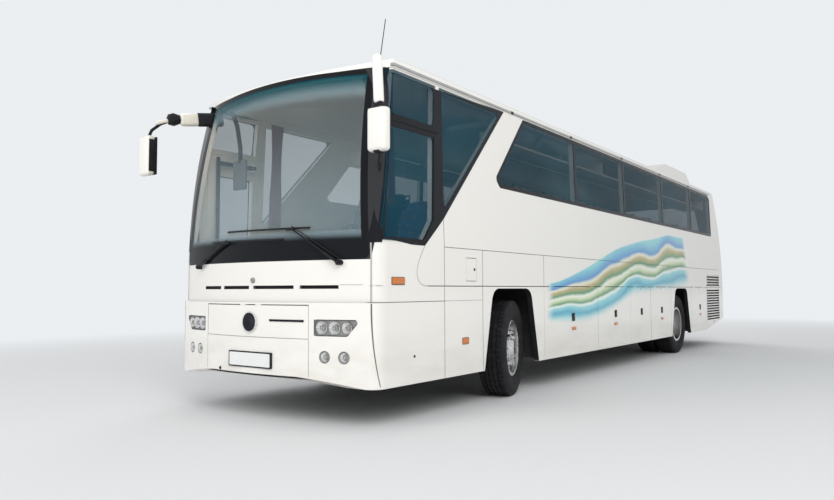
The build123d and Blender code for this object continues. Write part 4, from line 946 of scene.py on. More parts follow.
class COACH_OT_front_details(bpy.types.Operator):
    """Adds the plate, bare badge disc, vents, nub and covers of the front"""

    bl_idname = "coach.front_details"
    bl_label = "Front details"

    def execute(self, context):
        sizes = context.scene.coach_sizes
        details = Piece("front_fittings", slot="black_plastic")
        half, high = sizes.plate_width / 2, PLATE_LOW + sizes.plate_height
        for grow, radius, bottom, top, y, depth, finish in (
                (0.012, 0.012, PLATE_LOW - 0.002, high + 0.012, back(-0.007), 0.022, "trim_black"),
                (-0.002, 0.008, PLATE_LOW + 0.010, high, back(-0.009), 0.004, "blank_plate")):
            outline = rounded(rectangle((-half - grow, half + grow), (bottom, top)), radius)
            details.add(plate(outline, (), lambda a, b: Vector((a, y, b)), (0, depth, 0)), finish)
        for low, high in VENTS:
            details.add(patch(nose, (low - 0.004, high + 0.004), (1.130, 1.172), -0.03, (0, 0.02, 0)), "trim_black")
            for bottom in (1.1465, 1.157):
                slat = patch(nose, (low, high), (bottom, bottom + 0.003), -0.006, (0, 0.012, 0))
                details.add(slat, "trim_black")
        details.finish()

        flap = Piece("front_flap_fittings", body="front_flap", slot="black_plastic")
        disc = lathe(((0.0, 0.0), (0.010, 0.03), (0.012, 0.070), (0.012, 0.078), (0.0, 0.080), (-0.004, 0.0)))
        flap.add(disc, "gloss_black", [facing(nose(0, FLAP_DISC_HEIGHT, 0.001), (0, -1, 0))])
        ring = lathe([(0.008 + 0.010 * sin(k * pi / 4), 0.086 + 0.006 * cos(k * pi / 4)) for k in range(8)])
        flap.add(ring, "chrome", [facing(nose(0, FLAP_DISC_HEIGHT), (0, -1, 0))])
        flap.add(patch(nose, (0.242, 0.613), (0.858, 0.876), 0.006, (0, 0.007, 0)), "gloss_black")
        flap.finish()

        nub = Piece("washer_and_tow_cover", slot="black_plastic")
        cap = ((0.0, 0.0), (0.014, 0.008), (0.018, 0.016), (0.010, 0.024), (0.0, 0.026), (-0.005, 0.0))
        nub.add(lathe(cap, 20), "silver_plastic", [facing(nose(0, 1.214, 0.002), (0, -1, 0))])
        cover = ((0.0, 0.0), (0.004, 0.008), (0.004, 0.014), (0.0, 0.016), (-0.004, 0.0))
        nub.add(lathe(cover, 24), "trim_black", [facing(nose(-0.43, 0.418), (0, -1, 0))])
        nub.finish()
        return {"FINISHED"}


# Lamps

HEADLAMP_HEIGHTS = (0.745, 0.882)
HEADLAMP_FROM = 0.714
HEADLAMP_TO = (1.02, 1.135)
# The black edge of a headlamp, as shares of its width and height
BEZEL_PARTS = (((0, 1), (0, 0.05)), ((0, 1), (0.95, 1)), ((0, 0.022), (0, 1)), ((0.978, 1), (0, 1)))
REFLECTOR_HEIGHT = 0.814
REFLECTORS = ((0.782, 0.056), (0.900, 0.056), (1.012, 0.050))
FOG_LAMPS = (0.815, 0.990)
FOG_HEIGHT = 0.574
FOG_RADIUS = 0.046
TAIL_LAMP = (1.01, 1.20)
TAIL_LAMP_PARTS = ((0.86, 0.98, "red_lens"), (0.985, 1.10, "clear_lens"), (1.105, 1.26, "amber_lens"),
                   (1.265, 1.42, "red_lens"))


def headlamp_point(side, u, v, proud):
    """A point on a headlamp's face."""
    outer = between(HEADLAMP_TO, v)
    x = HEADLAMP_FROM + (outer - HEADLAMP_FROM) * u
    corner = max(0.0, x - 1.08)
    return nose(side * x, between(HEADLAMP_HEIGHTS, v), proud - 2.0 * corner ** 2)


def add_reflector(bowls, place, radius, amber):
    """A bright bowl with its bulb and the ring round the bulb."""
    bowl = lathe(((-0.022, 0.0), (-0.021, radius * 0.30), (-0.012, radius * 0.66), (0.0, radius * 0.90),
                  (0.003, radius * 0.95), (0.0, radius), (-0.030, radius), (-0.030, 0.0)), 40)
    bowls.add(bowl, "chrome", [place])
    bulb = lathe(((0.0, 0.0), (-0.002, 0.007), (-0.008, 0.011), (-0.02, 0.010), (-0.022, 0.0)), 20)
    bowls.add(bulb, "amber_lens" if amber else "chrome", [place])
    hood = lathe(((-0.002, radius * 0.30), (0.001, radius * 0.34), (-0.014, radius * 0.42),
                  (-0.017, radius * 0.38)), 32)
    bowls.add(hood, "silver_plastic", [place])


class COACH_OT_lamps(bpy.types.Operator):
    """Makes the headlamps, fog lamps and tail lamps with reflectors, bulbs and lenses"""

    bl_idname = "coach.lamps"
    bl_label = "Lamps"

    def execute(self, context):
        bowls = Piece("lamp_reflectors", slot="lamp_clear")
        lenses = Piece("lamp_lenses", slot="lamp_clear", replaces=("lamps",))
        for side in SIDES:
            face = partial(headlamp_point, side)
            bowls.add(patch(face, (0, 1), (0, 1), -0.036, (0, 0.008, 0), 10, 3), "silver_plastic")
            for across, upward in BEZEL_PARTS:
                bowls.add(patch(face, across, upward, 0.0, (0, 0.038, 0), 10, 3), "trim_black")
            lenses.add(patch(face, (0.01, 0.99), (0.03, 0.97), 0.001, (0, 0.003, 0), 12, 3), "clear_lens")
            spots = [(x, REFLECTOR_HEIGHT, radius) for x, radius in REFLECTORS]
            spots += [(x, FOG_HEIGHT, FOG_RADIUS - 0.003) for x in FOG_LAMPS]
            for index, (x, z, radius) in enumerate(spots):
                add_reflector(bowls, facing(nose(side * x, z, -0.006), (side * 0.10, -1, 0)), radius, index == 2)
            for x in FOG_LAMPS:
                place = facing(nose(side * x, FOG_HEIGHT, -0.001), (side * x / PLAN_RADIUS, -1, 0))
                cover = lathe(((0.0, 0.0), (-0.001, FOG_RADIUS * 0.6), (-0.004, FOG_RADIUS - 0.002),
                               (-0.007, FOG_RADIUS - 0.002), (-0.004, FOG_RADIUS * 0.6), (-0.003, 0.0)), 40)
                lenses.add(cover, "clear_lens", [place])
                rim = lathe(((0.001, FOG_RADIUS), (0.003, FOG_RADIUS + 0.004), (0.0, FOG_RADIUS + 0.008),
                             (-0.03, FOG_RADIUS), (-0.03, FOG_RADIUS - 0.003)), 40)
                bowls.add(rim, "silver_plastic", [place])
            inner, outer = (side * x for x in TAIL_LAMP)
            for low, high, finish in TAIL_LAMP_PARTS:
                def lens(u, v):
                    swell = 0.006 * (1 - (2 * u - 1) ** 4) * (1 - (2 * v - 1) ** 4)
                    return stern(between((inner, outer), u), between((low, high), v), 0.0005 + swell)

                lenses.add(sheet(12, 8, lens, (0, -0.012, 0)), finish)
                back_plate = patch(stern, (inner, outer), (0.862, 1.418), -0.03, (0, -0.008, 0), 12, 2)
                lenses.add(back_plate, "silver_plastic")
        bowls.finish()
        lenses.finish()
        return {"FINISHED"}


# Flaps: body, side, distance of the latch and of the reflector below it
LATCHES = (
    ("left_luggage_flap_1", LEFT, 4.027, 4.039), ("left_luggage_flap_2", LEFT, 5.471, 5.471),
    ("left_luggage_flap_3", LEFT, 6.565, None), ("left_luggage_flap_4", LEFT, 7.559, 7.571),
    ("left_service_flap", LEFT, 9.913, 9.930), ("right_luggage_flap_1", RIGHT, 4.027, 4.039),
    ("right_luggage_flap_2", RIGHT, 5.471, 5.471), ("right_service_flap", RIGHT, 9.913, 9.930),
)
LATCH_AT = 0.785
REFLECTOR_HEIGHTS = (0.627, 0.665)
# Marker lamps: distance, height and half sizes
MARKERS = ((0.487, 1.200, 0.085, 0.028), (1.533, 0.640, 0.052, 0.027))
# Locks: distance, height and radius
LOCKS = ((0.715, 0.557, 0.012), (6.538, 1.128, 0.009), (7.507, 1.128, 0.009), (9.843, 1.128, 0.009),
         (10.95, 0.47, 0.012))
# Blocks of grille slats: bottom, top, count and how proud the mesh behind them stands
GRILLES = ((0.515, 1.13, 12, -0.045), (1.185, 1.40, 4, 0.0012))


def add_side_plate(piece, finish, side, centre, half_sizes, proud, depth, radius):
    """A small flat plate on a side about a (distance, height) centre."""
    long, tall = half_sizes
    outline = rounded(rectangle((-long, long), (-tall, tall)), radius)

    def lift(a, b):
        return flank(side, centre[0] + a, centre[1] + b, proud)

    piece.add(plate(outline, (), lift, (-side * depth, 0, 0)), finish)


class COACH_OT_side_fittings(bpy.types.Operator):
    """Adds latches, reflectors, markers, locks and the rear grilles to both sides"""

    bl_idname = "coach.side_fittings"
    bl_label = "Side fittings"

    def execute(self, context):
        sizes = context.scene.coach_sizes
        half, tall = sizes.latch_width / 2, sizes.latch_height / 2
        for body, side, latch, reflector in LATCHES:
            piece = Piece(f"{body}_fittings", body=body, slot="black_plastic")
            add_side_plate(piece, "trim_black", side, (latch, LATCH_AT), (half, tall), 0.003, 0.006, 0.012)
            along = (latch - half * 0.55, latch + half * 0.55)
            heights = (LATCH_AT - tall * 0.2, LATCH_AT + tall * 0.75)
            piece.add(side_block(side, (0.001, 0.009), along, heights, 0.003), "gloss_black")
            if reflector:
                along = (reflector - 0.060, reflector + 0.060)
                piece.add(side_block(side, (-0.001, 0.008), along, REFLECTOR_HEIGHTS, 0.003), "amber_lens")
            piece.finish()

        markers = Piece("side_markers", slot="lamp_clear")
        locks = Piece("side_locks", slot="black_plastic")
        for side in SIDES:
            for distance, z, long, high in MARKERS:
                along, heights = (distance - long, distance + long), (z - high, z + high)
                markers.add(side_block(side, (-0.006, 0.012), along, heights, 0.006, 3), "amber_lens")
                frame_half = (long + 0.006, high + 0.006)
                add_side_plate(markers, "seam_shadow", side, (distance, z), frame_half, 0.002, 0.004, 0.01)
            for distance, z, radius in LOCKS:
                if side == RIGHT and distance < DOOR_EDGE:
                    continue
                stud = lathe(((0.0, 0.0), (0.004, radius * 0.6), (0.003, radius), (-0.003, radius), (-0.003, 0.0)), 20)
                locks.add(stud, "trim_black", [facing(flank(side, distance, z), (side, 0, 0))])
        markers.finish()
        locks.finish()

        fuel = Piece("fuel_flap_lock", body="fuel_flap", slot="black_plastic")
        stud = lathe(((0.0, 0.0), (0.004, 0.008), (0.003, 0.014), (-0.003, 0.014), (-0.003, 0.0)), 24)
        fuel.add(stud, "trim_black", [facing(flank(LEFT, 1.703, 1.321), (1, 0, 0))])
        fuel.finish()

        # Grilles behind the rear wheels: an upper and a lower block of slats over fine mesh
        grilles = Piece("rear_grilles", slot="black_plastic")
        slats = Piece("grille_slats", slot="body_white")
        for side in SIDES:
            for low, high, count, proud in GRILLES:
                mesh = patch(partial(flank, side), (10.44, 11.41), (low, high), proud, (-side * 0.003, 0, 0), 1)
                grilles.add(mesh, "louvre_mesh")
                pitch = (high - low) / count
                for row in range(count):
                    z = low + (row + 0.775) * pitch
                    slat = side_block(side, (-0.008, 0.004), (10.43, 11.42), (z - 0.009, z + 0.009), 0.003)
                    slats.add(slat, "body_paint")
            for distance in (10.435, 11.415):
                along = (distance - 0.008, distance + 0.008)
                slats.add(side_block(side, (-0.004, 0.0045), along, (1.176, 1.409), 0.002), "body_paint")
        grilles.finish()
        slats.finish()
        return {"FINISHED"}


# Mirrors: their boxes by X, distances, heights, rounding, segments and finish
LEFT_MIRROR = (
    ((1.345, 1.425), (0.075, 0.125), (2.57, 2.615), 0.01, 2, "trim_black"),
    ((1.29, 1.479), (0.05, 0.145), (2.215, 2.575), 0.034, 5, "body_paint"),
    ((1.2925, 1.4765), (0.052, 0.143), (2.5615, 2.5665), 0.002, 2, "trim_black"),
    ((1.303, 1.467), (0.140, 0.152), (2.235, 2.555), 0.005, 2, "trim_black"),
    ((1.312, 1.458), (0.150, 0.155), (2.245, 2.545), 0.002, 2, "mirror_glass"),
    ((1.355, 1.415), (0.06, 0.135), (2.206, 2.225), 0.006, 2, "trim_black"),
)
RIGHT_MIRROR = (
    ((-1.479, -1.300), (-0.195, -0.11), (2.262, 2.66), 0.032, 5, "body_paint"),
    ((-1.468, -1.292), (-0.115, -0.093), (2.272, 2.65), 0.010, 2, "trim_black"),
    ((-1.456, -1.306), (-0.095, -0.0905), (2.285, 2.637), 0.002, 2, "mirror_glass"),
    ((-1.302, -1.291), (-0.185, -0.10), (2.30, 2.62), 0.004, 2, "trim_black"),
)


class COACH_OT_mirrors(bpy.types.Operator):
    """Makes both outside mirrors with their arms, shells and glass"""

    bl_idname = "coach.mirrors"
    bl_label = "Mirrors"

    def execute(self, context):
        left = Piece("left_mirror_assembly", slot="black_plastic", replaces=("left_mirror",))
        left.add(beam((1.13, back(0.40), 3.015), (1.33, back(0.145), 2.985), 0.07, 0.10, 0.03), "body_paint")
        left.add(beam((1.335, back(0.135), 3.01), (1.385, back(0.100), 2.60), 0.085, 0.055, 0.026), "body_paint")
        for *sizes, finish in LEFT_MIRROR:
            left.add(block(*sizes), finish)
        left.finish()

        right = Piece("right_mirror_assembly", slot="body_white", replaces=("right_mirror",))
        root, elbow = Vector((-1.06, back(0.52), 2.905)), Vector((-1.262, back(0.06), 2.85))
        right.add(beam(root, root.lerp(elbow, 0.56), 0.075, 0.14, 0.03), "trim_black")
        right.add(beam(root.lerp(elbow, 0.50), root.lerp(elbow, 0.88), 0.08, 0.135, 0.03), "body_paint")
        knuckle = lathe(((-0.075, 0.0), (-0.06, 0.045), (0.0, 0.066), (0.05, 0.052), (0.075, 0.0)), 28)
        right.add(knuckle, "trim_black", [facing(elbow, elbow - root)])
        neck = [elbow, Vector((-1.31, back(-0.055), 2.79)), Vector((-1.36, back(-0.12), 2.72)),
                Vector((-1.385, back(-0.14), 2.64))]
        right.add(bar(neck, 0.016, 3), "trim_black")
        right.add(beam(elbow, Vector((-1.33, back(-0.10), 2.79)), 0.05, 0.04, 0.014), "body_paint")
        for *sizes, finish in RIGHT_MIRROR:
            right.add(block(*sizes), finish)
        right.finish()
        return {"FINISHED"}


# Wipers: X and Z of the pivot, the arm's end and the blade's two ends
WIPERS = (
    ((-0.879, 1.352), (-0.361, 1.570), (-0.624, 1.573), (0.369, 1.563)),
    ((0.939, 1.352), (0.467, 1.654), (-0.370, 1.660), (0.646, 1.652)),
)


class COACH_OT_wipers(bpy.types.Operator):
    """Makes the two wipers that rest on the windscreen"""

    bl_idname = "coach.wipers"
    bl_label = "Wipers"

    def execute(self, context):
        wipers = Piece("wiper_pair", slot="black_plastic", replaces=("wipers",))
        black = "trim_black"
        for pivot, arm_end, start, end in WIPERS:
            root = nose(*pivot, 0.035)
            tip = nose(*arm_end, 0.034)
            cap = lathe(((0.024, 0.0), (0.022, 0.014), (0.012, 0.022), (-0.05, 0.022), (-0.05, 0.0)), 24)
            wipers.add(cap, black, [facing(root, (0, -1, 0))])
            wipers.add(beam(root, root.lerp(tip, 0.30), 0.036, 0.020, 0.006), black)
            wipers.add(beam(root.lerp(tip, 0.27), tip, 0.020, 0.012, 0.004), black)
            wipers.add(bar([root + Vector((0.02, 0, 0.03)), tip + Vector((0.01, 0, 0.018))], 0.004), black)
            reach = Vector((0.05, 0, -0.012))
            wipers.add(beam(tip + Vector((-0.05, 0, -0.012)), tip + reach, 0.03, 0.016, 0.005), black)
            start, end = Vector(start), Vector(end)

            def blade(u, v):
                spot = start.lerp(end, u)
                return nose(spot.x, spot.y + 0.016 * (v - 0.5), 0.022 - 0.004 * (2 * u - 1) ** 2)

            def lip(u, v):
                spot = start.lerp(end, u)
                return nose(spot.x, spot.y + 0.004 * (v - 0.5) - 0.003, 0.016)

            wipers.add(sheet(24, 1, blade, (0, 0.010, 0)), black)
            wipers.add(sheet(24, 1, lip, (0, 0.0145, 0)), "window_rubber")
        wipers.finish()
        return {"FINISHED"}


COOLER_TOP = 3.47
HATCHES = (("front_roof_hatch", 3.3), ("rear_roof_hatch", 6.2))


class COACH_OT_roof_fittings(bpy.types.Operator):
    """Adds the cooler's fans, the hatches' ribs and the roof lamp"""

    bl_idname = "coach.roof_fittings"
    bl_label = "Roof fittings"

    def execute(self, context):
        unit = Piece("air_conditioner_fittings", slot="black_plastic")
        for x, distance in [(x, distance) for distance in (9.48, 10.12) for x in (-0.45, 0.45)]:
            place = Matrix.Translation((x, back(distance), COOLER_TOP))
            ring = ((0.0, 0.205), (0.012, 0.215), (0.012, 0.235), (0.0, 0.245), (-0.01, 0.245), (-0.01, 0.205))
            unit.add(lathe(ring, 40), "trim_black", [place])
            unit.add(lathe(((0.002, 0.0), (0.002, 0.21), (-0.004, 0.21), (-0.004, 0.0)), 40), "louvre_mesh", [place])
            unit.add(lathe(((0.014, 0.0), (0.012, 0.05), (0.002, 0.055), (0.002, 0.0)), 24), "trim_black", [place])
            spokes = [place @ Matrix.Rotation(k * pi / 4, 4, "Z") for k in range(8)]
            unit.add(rounded_box((0.045, -0.005, 0.002), (0.212, 0.005, 0.010), 0.002, 1), "trim_black", spokes)
        unit.finish()

        for name, spot in HATCHES:
            ribs = Piece(f"{name}_ribs", body=name, slot="body_white")
            ribs.add(block((-0.27, 0.27), (spot - 0.27, spot + 0.27), (3.338, 3.346), 0.006, 3), "body_paint")
            for x in (-0.16, 0.0, 0.16):
                rib = block((x - 0.03, x + 0.03), (spot - 0.22, spot + 0.22), (3.344, 3.350), 0.003)
                ribs.add(rib, "body_paint")
            ribs.finish()

        lamp = Piece("roof_lamps", slot="black_plastic")
        dome = ((0.022, 0.0), (0.018, 0.022), (0.006, 0.040), (0.0, 0.042), (-0.05, 0.042), (-0.05, 0.0))
        lamp.add(lathe(dome, 28), "trim_black", [Matrix.Translation((0.79, back(0.636), 3.135))])
        lamp.finish()
        return {"FINISHED"}


# Wheels: outlines as height along the axle and radius, outwards from the wheel's middle

TYRE_STEPS = 120
DISC_STEPS = 80
GROOVES = (-0.070, -0.024, 0.024, 0.070)
SHOULDER_CURVE = (
    (0.1135, 0.5045), (0.122, 0.501), (0.1295, 0.493), (0.138, 0.470), (0.1425, 0.452), (0.144, 0.449),
    (0.1465, 0.425), (0.1475, 0.395), (0.1470, 0.374), (0.1440, 0.352), (0.1415, 0.350), (0.1385, 0.330),
    (0.1335, 0.314), (0.1275, 0.306), (0.1137, 0.3015), (0.1137, 0.2845))
BARREL = ((-0.122, 0.298), (-0.125, 0.290), (-0.122, 0.264), (-0.05, 0.262), (0.05, 0.262), (0.122, 0.264),
          (0.125, 0.290), (0.122, 0.298), (0.116, 0.2975), (0.114, 0.284), (-0.114, 0.284), (-0.116, 0.2975))
FRONT_DISC = ((0.030, 0.2635), (0.040, 0.255), (0.050, 0.245), (0.060, 0.232), (0.068, 0.218), (0.075, 0.205),
              (0.082, 0.192), (0.087, 0.178), (0.088, 0.150), (0.088, 0.112))
REAR_DISC = ((-0.100, 0.2635), (-0.106, 0.255), (-0.113, 0.245), (-0.121, 0.232), (-0.128, 0.218),
             (-0.136, 0.205), (-0.143, 0.192), (-0.146, 0.178), (-0.147, 0.150), (-0.147, 0.112))
FRONT_HUB = ((0.090, 0.112), (0.100, 0.108), (0.106, 0.095), (0.125, 0.088), (0.133, 0.078), (0.138, 0.060),
             (0.139, 0.0), (0.03, 0.0), (0.03, 0.112))
REAR_HUB = ((-0.145, 0.128), (-0.105, 0.118), (-0.060, 0.104), (-0.054, 0.096), (-0.052, 0.070),
            (-0.046, 0.066), (-0.045, 0.0), (-0.16, 0.0), (-0.16, 0.128))
HAND_HOLES = (0.199, 0.248)
NUT_CIRCLE = 0.1675
NUTS = 10


def wheel_place(side, x, axle, steer):
    """The place of a wheel whose own Z points outwards."""
    spin = facing((side * x, back(axle), WHEEL_HEIGHT), (side, 0, 0))
    pin = Matrix.Translation((side * KINGPIN, back(axle), 0))
    return pin @ Matrix.Rotation(steer, 4, "Z") @ pin.inverted() @ spin


def radius_and_turn(face, steps):
    """How far a face of a turned mesh lies from the axis, and in which of its steps."""
    middle = face.calc_center_median()
    turn = floor((atan2(middle.y, middle.x) + pi) / (2 * pi / steps))
    return sqrt(middle.x ** 2 + middle.y ** 2), turn


def tyre_mesh():
    """One tyre with ribs, sipes and a ringed sidewall."""
    outline = []
    for spot in GROOVES:
        outline += [(spot - 0.006, 0.505), (spot - 0.004, 0.492), (spot + 0.004, 0.492), (spot + 0.006, 0.505)]
    outline += [*SHOULDER_CURVE, *((-height, radius) for height, radius in reversed(SHOULDER_CURVE))]
    bm = lathe(outline, TYRE_STEPS)
    cuts = []
    for face in bm.faces:
        radius, turn = radius_and_turn(face, TYRE_STEPS)
        off_centre = abs(face.calc_center_median().z)
        shoulder_cut = radius > 0.498 and 0.076 < off_centre < 0.1135 and turn % 2 == 0
        middle_cut = radius > 0.502 and off_centre < 0.06 and turn % 3 == 0
        if shoulder_cut or middle_cut:
            cuts.append(face)
    bmesh.ops.recalc_face_normals(bm, faces=bm.faces)
    bmesh.ops.inset_individual(bm, faces=cuts, thickness=0.0045, depth=-0.006)
    return bm


def disc_mesh(profile):
    """A wheel disc of pressed metal with ten hand holes."""
    bm = bmesh.new()
    verts = [bm.verts.new((radius, 0, height)) for height, radius in profile]
    edges = [bm.edges.new(pair) for pair in zip(verts, verts[1:])]
    bmesh.ops.spin(bm, geom=verts + edges, cent=(0, 0, 0), axis=(0, 0, 1), angle=2 * pi, steps=DISC_STEPS,
                   use_merge=True)
    bmesh.ops.remove_doubles(bm, verts=bm.verts, dist=1e-6)
    low, high = HAND_HOLES
    gone = []
    for face in bm.faces:
        radius, turn = radius_and_turn(face, DISC_STEPS)
        wide = abs(radius - (low + high) / 2) < 0.010
        if low < radius < high and (turn % 8 in (2, 3, 4, 5) or (wide and turn % 8 in (1, 6))):
            gone.append(face)
    bmesh.ops.delete(bm, geom=gone, context="FACES")
    return thickened(bm, (0, 0, -0.010))


def add_hub(piece, places, face, hub):
    """Ten nuts on a bright ring, and the hub in the middle."""
    ring = lathe(((face, 0.138), (face + 0.006, 0.142), (face + 0.007, 0.192), (face + 0.001, 0.197),
                  (face - 0.004, 0.197), (face - 0.004, 0.138)), 60)
    piece.add(ring, "chrome", places)
    on_face = Matrix.Translation((NUT_CIRCLE, 0, face + 0.006))
    nuts = [place @ Matrix.Rotation(2 * pi * k / NUTS, 4, "Z") @ on_face for place in places for k in range(NUTS)]
    nut = lathe(((0.0, 0.022), (0.003, 0.020), (0.004, 0.0165), (0.022, 0.0165), (0.026, 0.012), (0.027, 0.0)), 6)
    bmesh.ops.holes_fill(nut, edges=nut.edges[:], sides=0)
    piece.add(nut, "chrome", nuts)
    piece.add(lathe(hub, 48), "rim_aluminium", places)


class COACH_OT_wheels(bpy.types.Operator):
    """Makes the tyres with their tread and the rims with hand holes, nuts and hubs"""

    bl_idname = "coach.wheels"
    bl_label = "Wheels"

    def execute(self, context):
        for side, word in SIDES.items():
            front = wheel_place(side, FRONT_WHEEL_X, FRONT_AXLE, STEER)
            outer = wheel_place(side, REAR_WHEEL_X, REAR_AXLE, 0.0)
            inner = wheel_place(side, REAR_WHEEL_X - TWIN_SPACING, REAR_AXLE, 0.0)
            back_to_back = inner @ Matrix.Rotation(pi, 4, "X")
            # Start of the names, places of tyres and discs, disc, hub's face, hub, and a twin's ending
            for start, places, discs, disc, face, hub, many in (
                    (f"front_{word}_", [front], [front], FRONT_DISC, 0.089, FRONT_HUB, ""),
                    (f"rear_{word}_", [outer, inner], [outer, back_to_back], REAR_DISC, -0.146, REAR_HUB, "s")):
                body = f"{start}wheel{many}"
                tyre = Piece(f"{start}tread_tyre{many}", body, "tyre_rubber", (f"{start}tyre{many}",))
                tyre.add(tyre_mesh(), "tyre_rubber", places)
                tyre.finish(50)
                rim = Piece(f"{start}wheel_rim{many}", body, "rim_metal", (f"{start}rim{many}",))
                rim.add(lathe(BARREL, 80), "rim_aluminium", places)
                rim.add(disc_mesh(disc), "rim_aluminium", discs)
                add_hub(rim, places[:1], face, hub)
                rim.finish(35)
        return {"FINISHED"}


REAR_PLATE_LOW = 1.315


class COACH_OT_rear_details(bpy.types.Operator):
    """Adds the engine louvres, plate, reflectors, window rim and upper stop lamp of the rear"""

    bl_idname = "coach.rear_details"
    bl_label = "Rear details"

    def execute(self, context):
        sizes = context.scene.coach_sizes
        door = Piece("engine_door_louvres", body="engine_door", slot="black_plastic")
        for row in range(9):
            z = 0.86 + row * 0.045
            door.add(patch(stern, (-0.52, 0.52), (z, z + 0.022), 0.0003, (0, -0.003, 0)), "louvre_mesh")
            y = stern(0.53, z + 0.026, 0.001).y
            door.add(rounded_box((-0.53, y - 0.012, z + 0.020), (0.53, y, z + 0.030), 0.003), "body_paint")
        handle = rounded_box((-0.11, TAIL - 0.010, 0.785), (0.11, TAIL + 0.001, 0.812), 0.004)
        door.add(handle, "trim_black")
        half, low, high = sizes.plate_width / 2, REAR_PLATE_LOW, REAR_PLATE_LOW + sizes.plate_height
        y = stern(0, low).y
        holder = rounded_box((-half - 0.01, y - 0.030, low - 0.01), (half + 0.01, y + 0.006, high + 0.01), 0.004)
        door.add(holder, "trim_black")
        door.add(rounded_box((-half, y + 0.004, low), (half, y + 0.008, high), 0.002), "blank_plate")
        door.finish()

        fittings = Piece("rear_fittings", slot="black_plastic")
        for x in (-0.62, 0.62):
            # Reflector and reversing lamp: X, half width, depth, heights and lens
            for centre, wide, depth, heights, lens in ((x, 0.06, 0.008, (0.60, 0.64), "red_lens"),
                                                       (x * 1.35, 0.05, 0.010, (0.70, 0.735), "clear_lens")):
                low, high = (centre - wide, TAIL - depth, heights[0]), (centre + wide, TAIL + 0.001, heights[1])
                fittings.add(rounded_box(low, high, 0.003), lens)
        outline = rounded(((-0.915, 2.215), (0.915, 2.215), (0.855, 2.945), (-0.855, 2.945)), 0.06)
        opening = rounded(((-0.85, 2.28), (0.85, 2.28), (0.80, 2.88), (-0.80, 2.88)), 0.05)
        rim = plate(outline, (opening,), lambda a, b: Vector((a, b, 0)), (0, 0, -0.004))
        bmesh.ops.subdivide_edges(rim, edges=rim.edges[:], cuts=2)
        for vert in rim.verts:
            vert.co = stern(vert.co.x, vert.co.y, 0.002 + vert.co.z)
        fittings.add(rim, "gloss_black")
        y = stern(0, 2.16, 0.004).y
        fittings.add(rounded_box((-0.16, y - 0.02, 2.145), (0.16, y + 0.006, 2.172), 0.004), "red_lens")
        fittings.finish()
        return {"FINISHED"}


# Passenger doors: body, start and end behind the front, top
DOORS = (("front_door", 0.430, 1.150, 2.560), ("middle_door", 6.550, 7.300, 2.150))


class COACH_OT_door_trim(bpy.types.Operator):
    """Adds rubber seals, window rims and handles to both passenger doors"""

    bl_idname = "coach.door_trim"
    bl_label = "Door trim"

    def execute(self, context):
        for body, low, high, top in DOORS:
            trim = Piece(f"{body}_trim", body=body, slot="black_plastic")
            window = rounded(rectangle((low + 0.09, high - 0.09), (1.24, top - 0.19)), 0.05)
            inner = rounded(rectangle((low + 0.125, high - 0.125), (1.275, top - 0.225)), 0.04)
            rim = plate(window, (inner,), lambda a, b: Vector((a, b, 0)), (0, 0, -0.004))
            for vert in rim.verts:
                vert.co = flank(RIGHT, vert.co.x, vert.co.y, 0.0015 + vert.co.z)
            trim.add(rim, "gloss_black")
            if body == "front_door":
                # The black surround goes on round the upper part of the door's window
                start, end, head = low + 0.008, high - 0.008, top - 0.008
                surround = ((start, 1.518), (low + 0.09, 1.518), (low + 0.09, top - 0.19), (high - 0.09, top - 0.19),
                            (high - 0.09, 1.518), (end, 1.518), (end, head), (start, head))
                cover = plate(surround, (), lambda a, b: flank(RIGHT, a, b, 0.0012), (0.004, 0, 0))
                trim.add(cover, "gloss_black")
            for distance in (low + 0.010, high - 0.016):
                seal = side_block(RIGHT, (0.002, -0.008), (distance, distance + 0.006), (0.36, 1.50), 0.001, 1)
                trim.add(seal, "window_rubber")
            handle = side_block(RIGHT, (0.012, 0.0), (high - 0.10, high - 0.05), (1.06, 1.16), 0.004)
            trim.add(handle, "trim_black")
            trim.finish()
        return {"FINISHED"}


# Cabin

SEAT_START = 2.15
SEAT_PITCH = 0.79
SEAT_ROWS = 11
WELL = (5.83, 7.30)
CURTAIN_HEIGHT = 1.15
CURTAIN_WAVES = 7
# Gathered curtains: distance where each hangs, its width as it hangs, and its side
CURTAINS = ((1.13, 0.17, LEFT), (0.50, 0.10, LEFT), (1.25, 0.17, RIGHT))


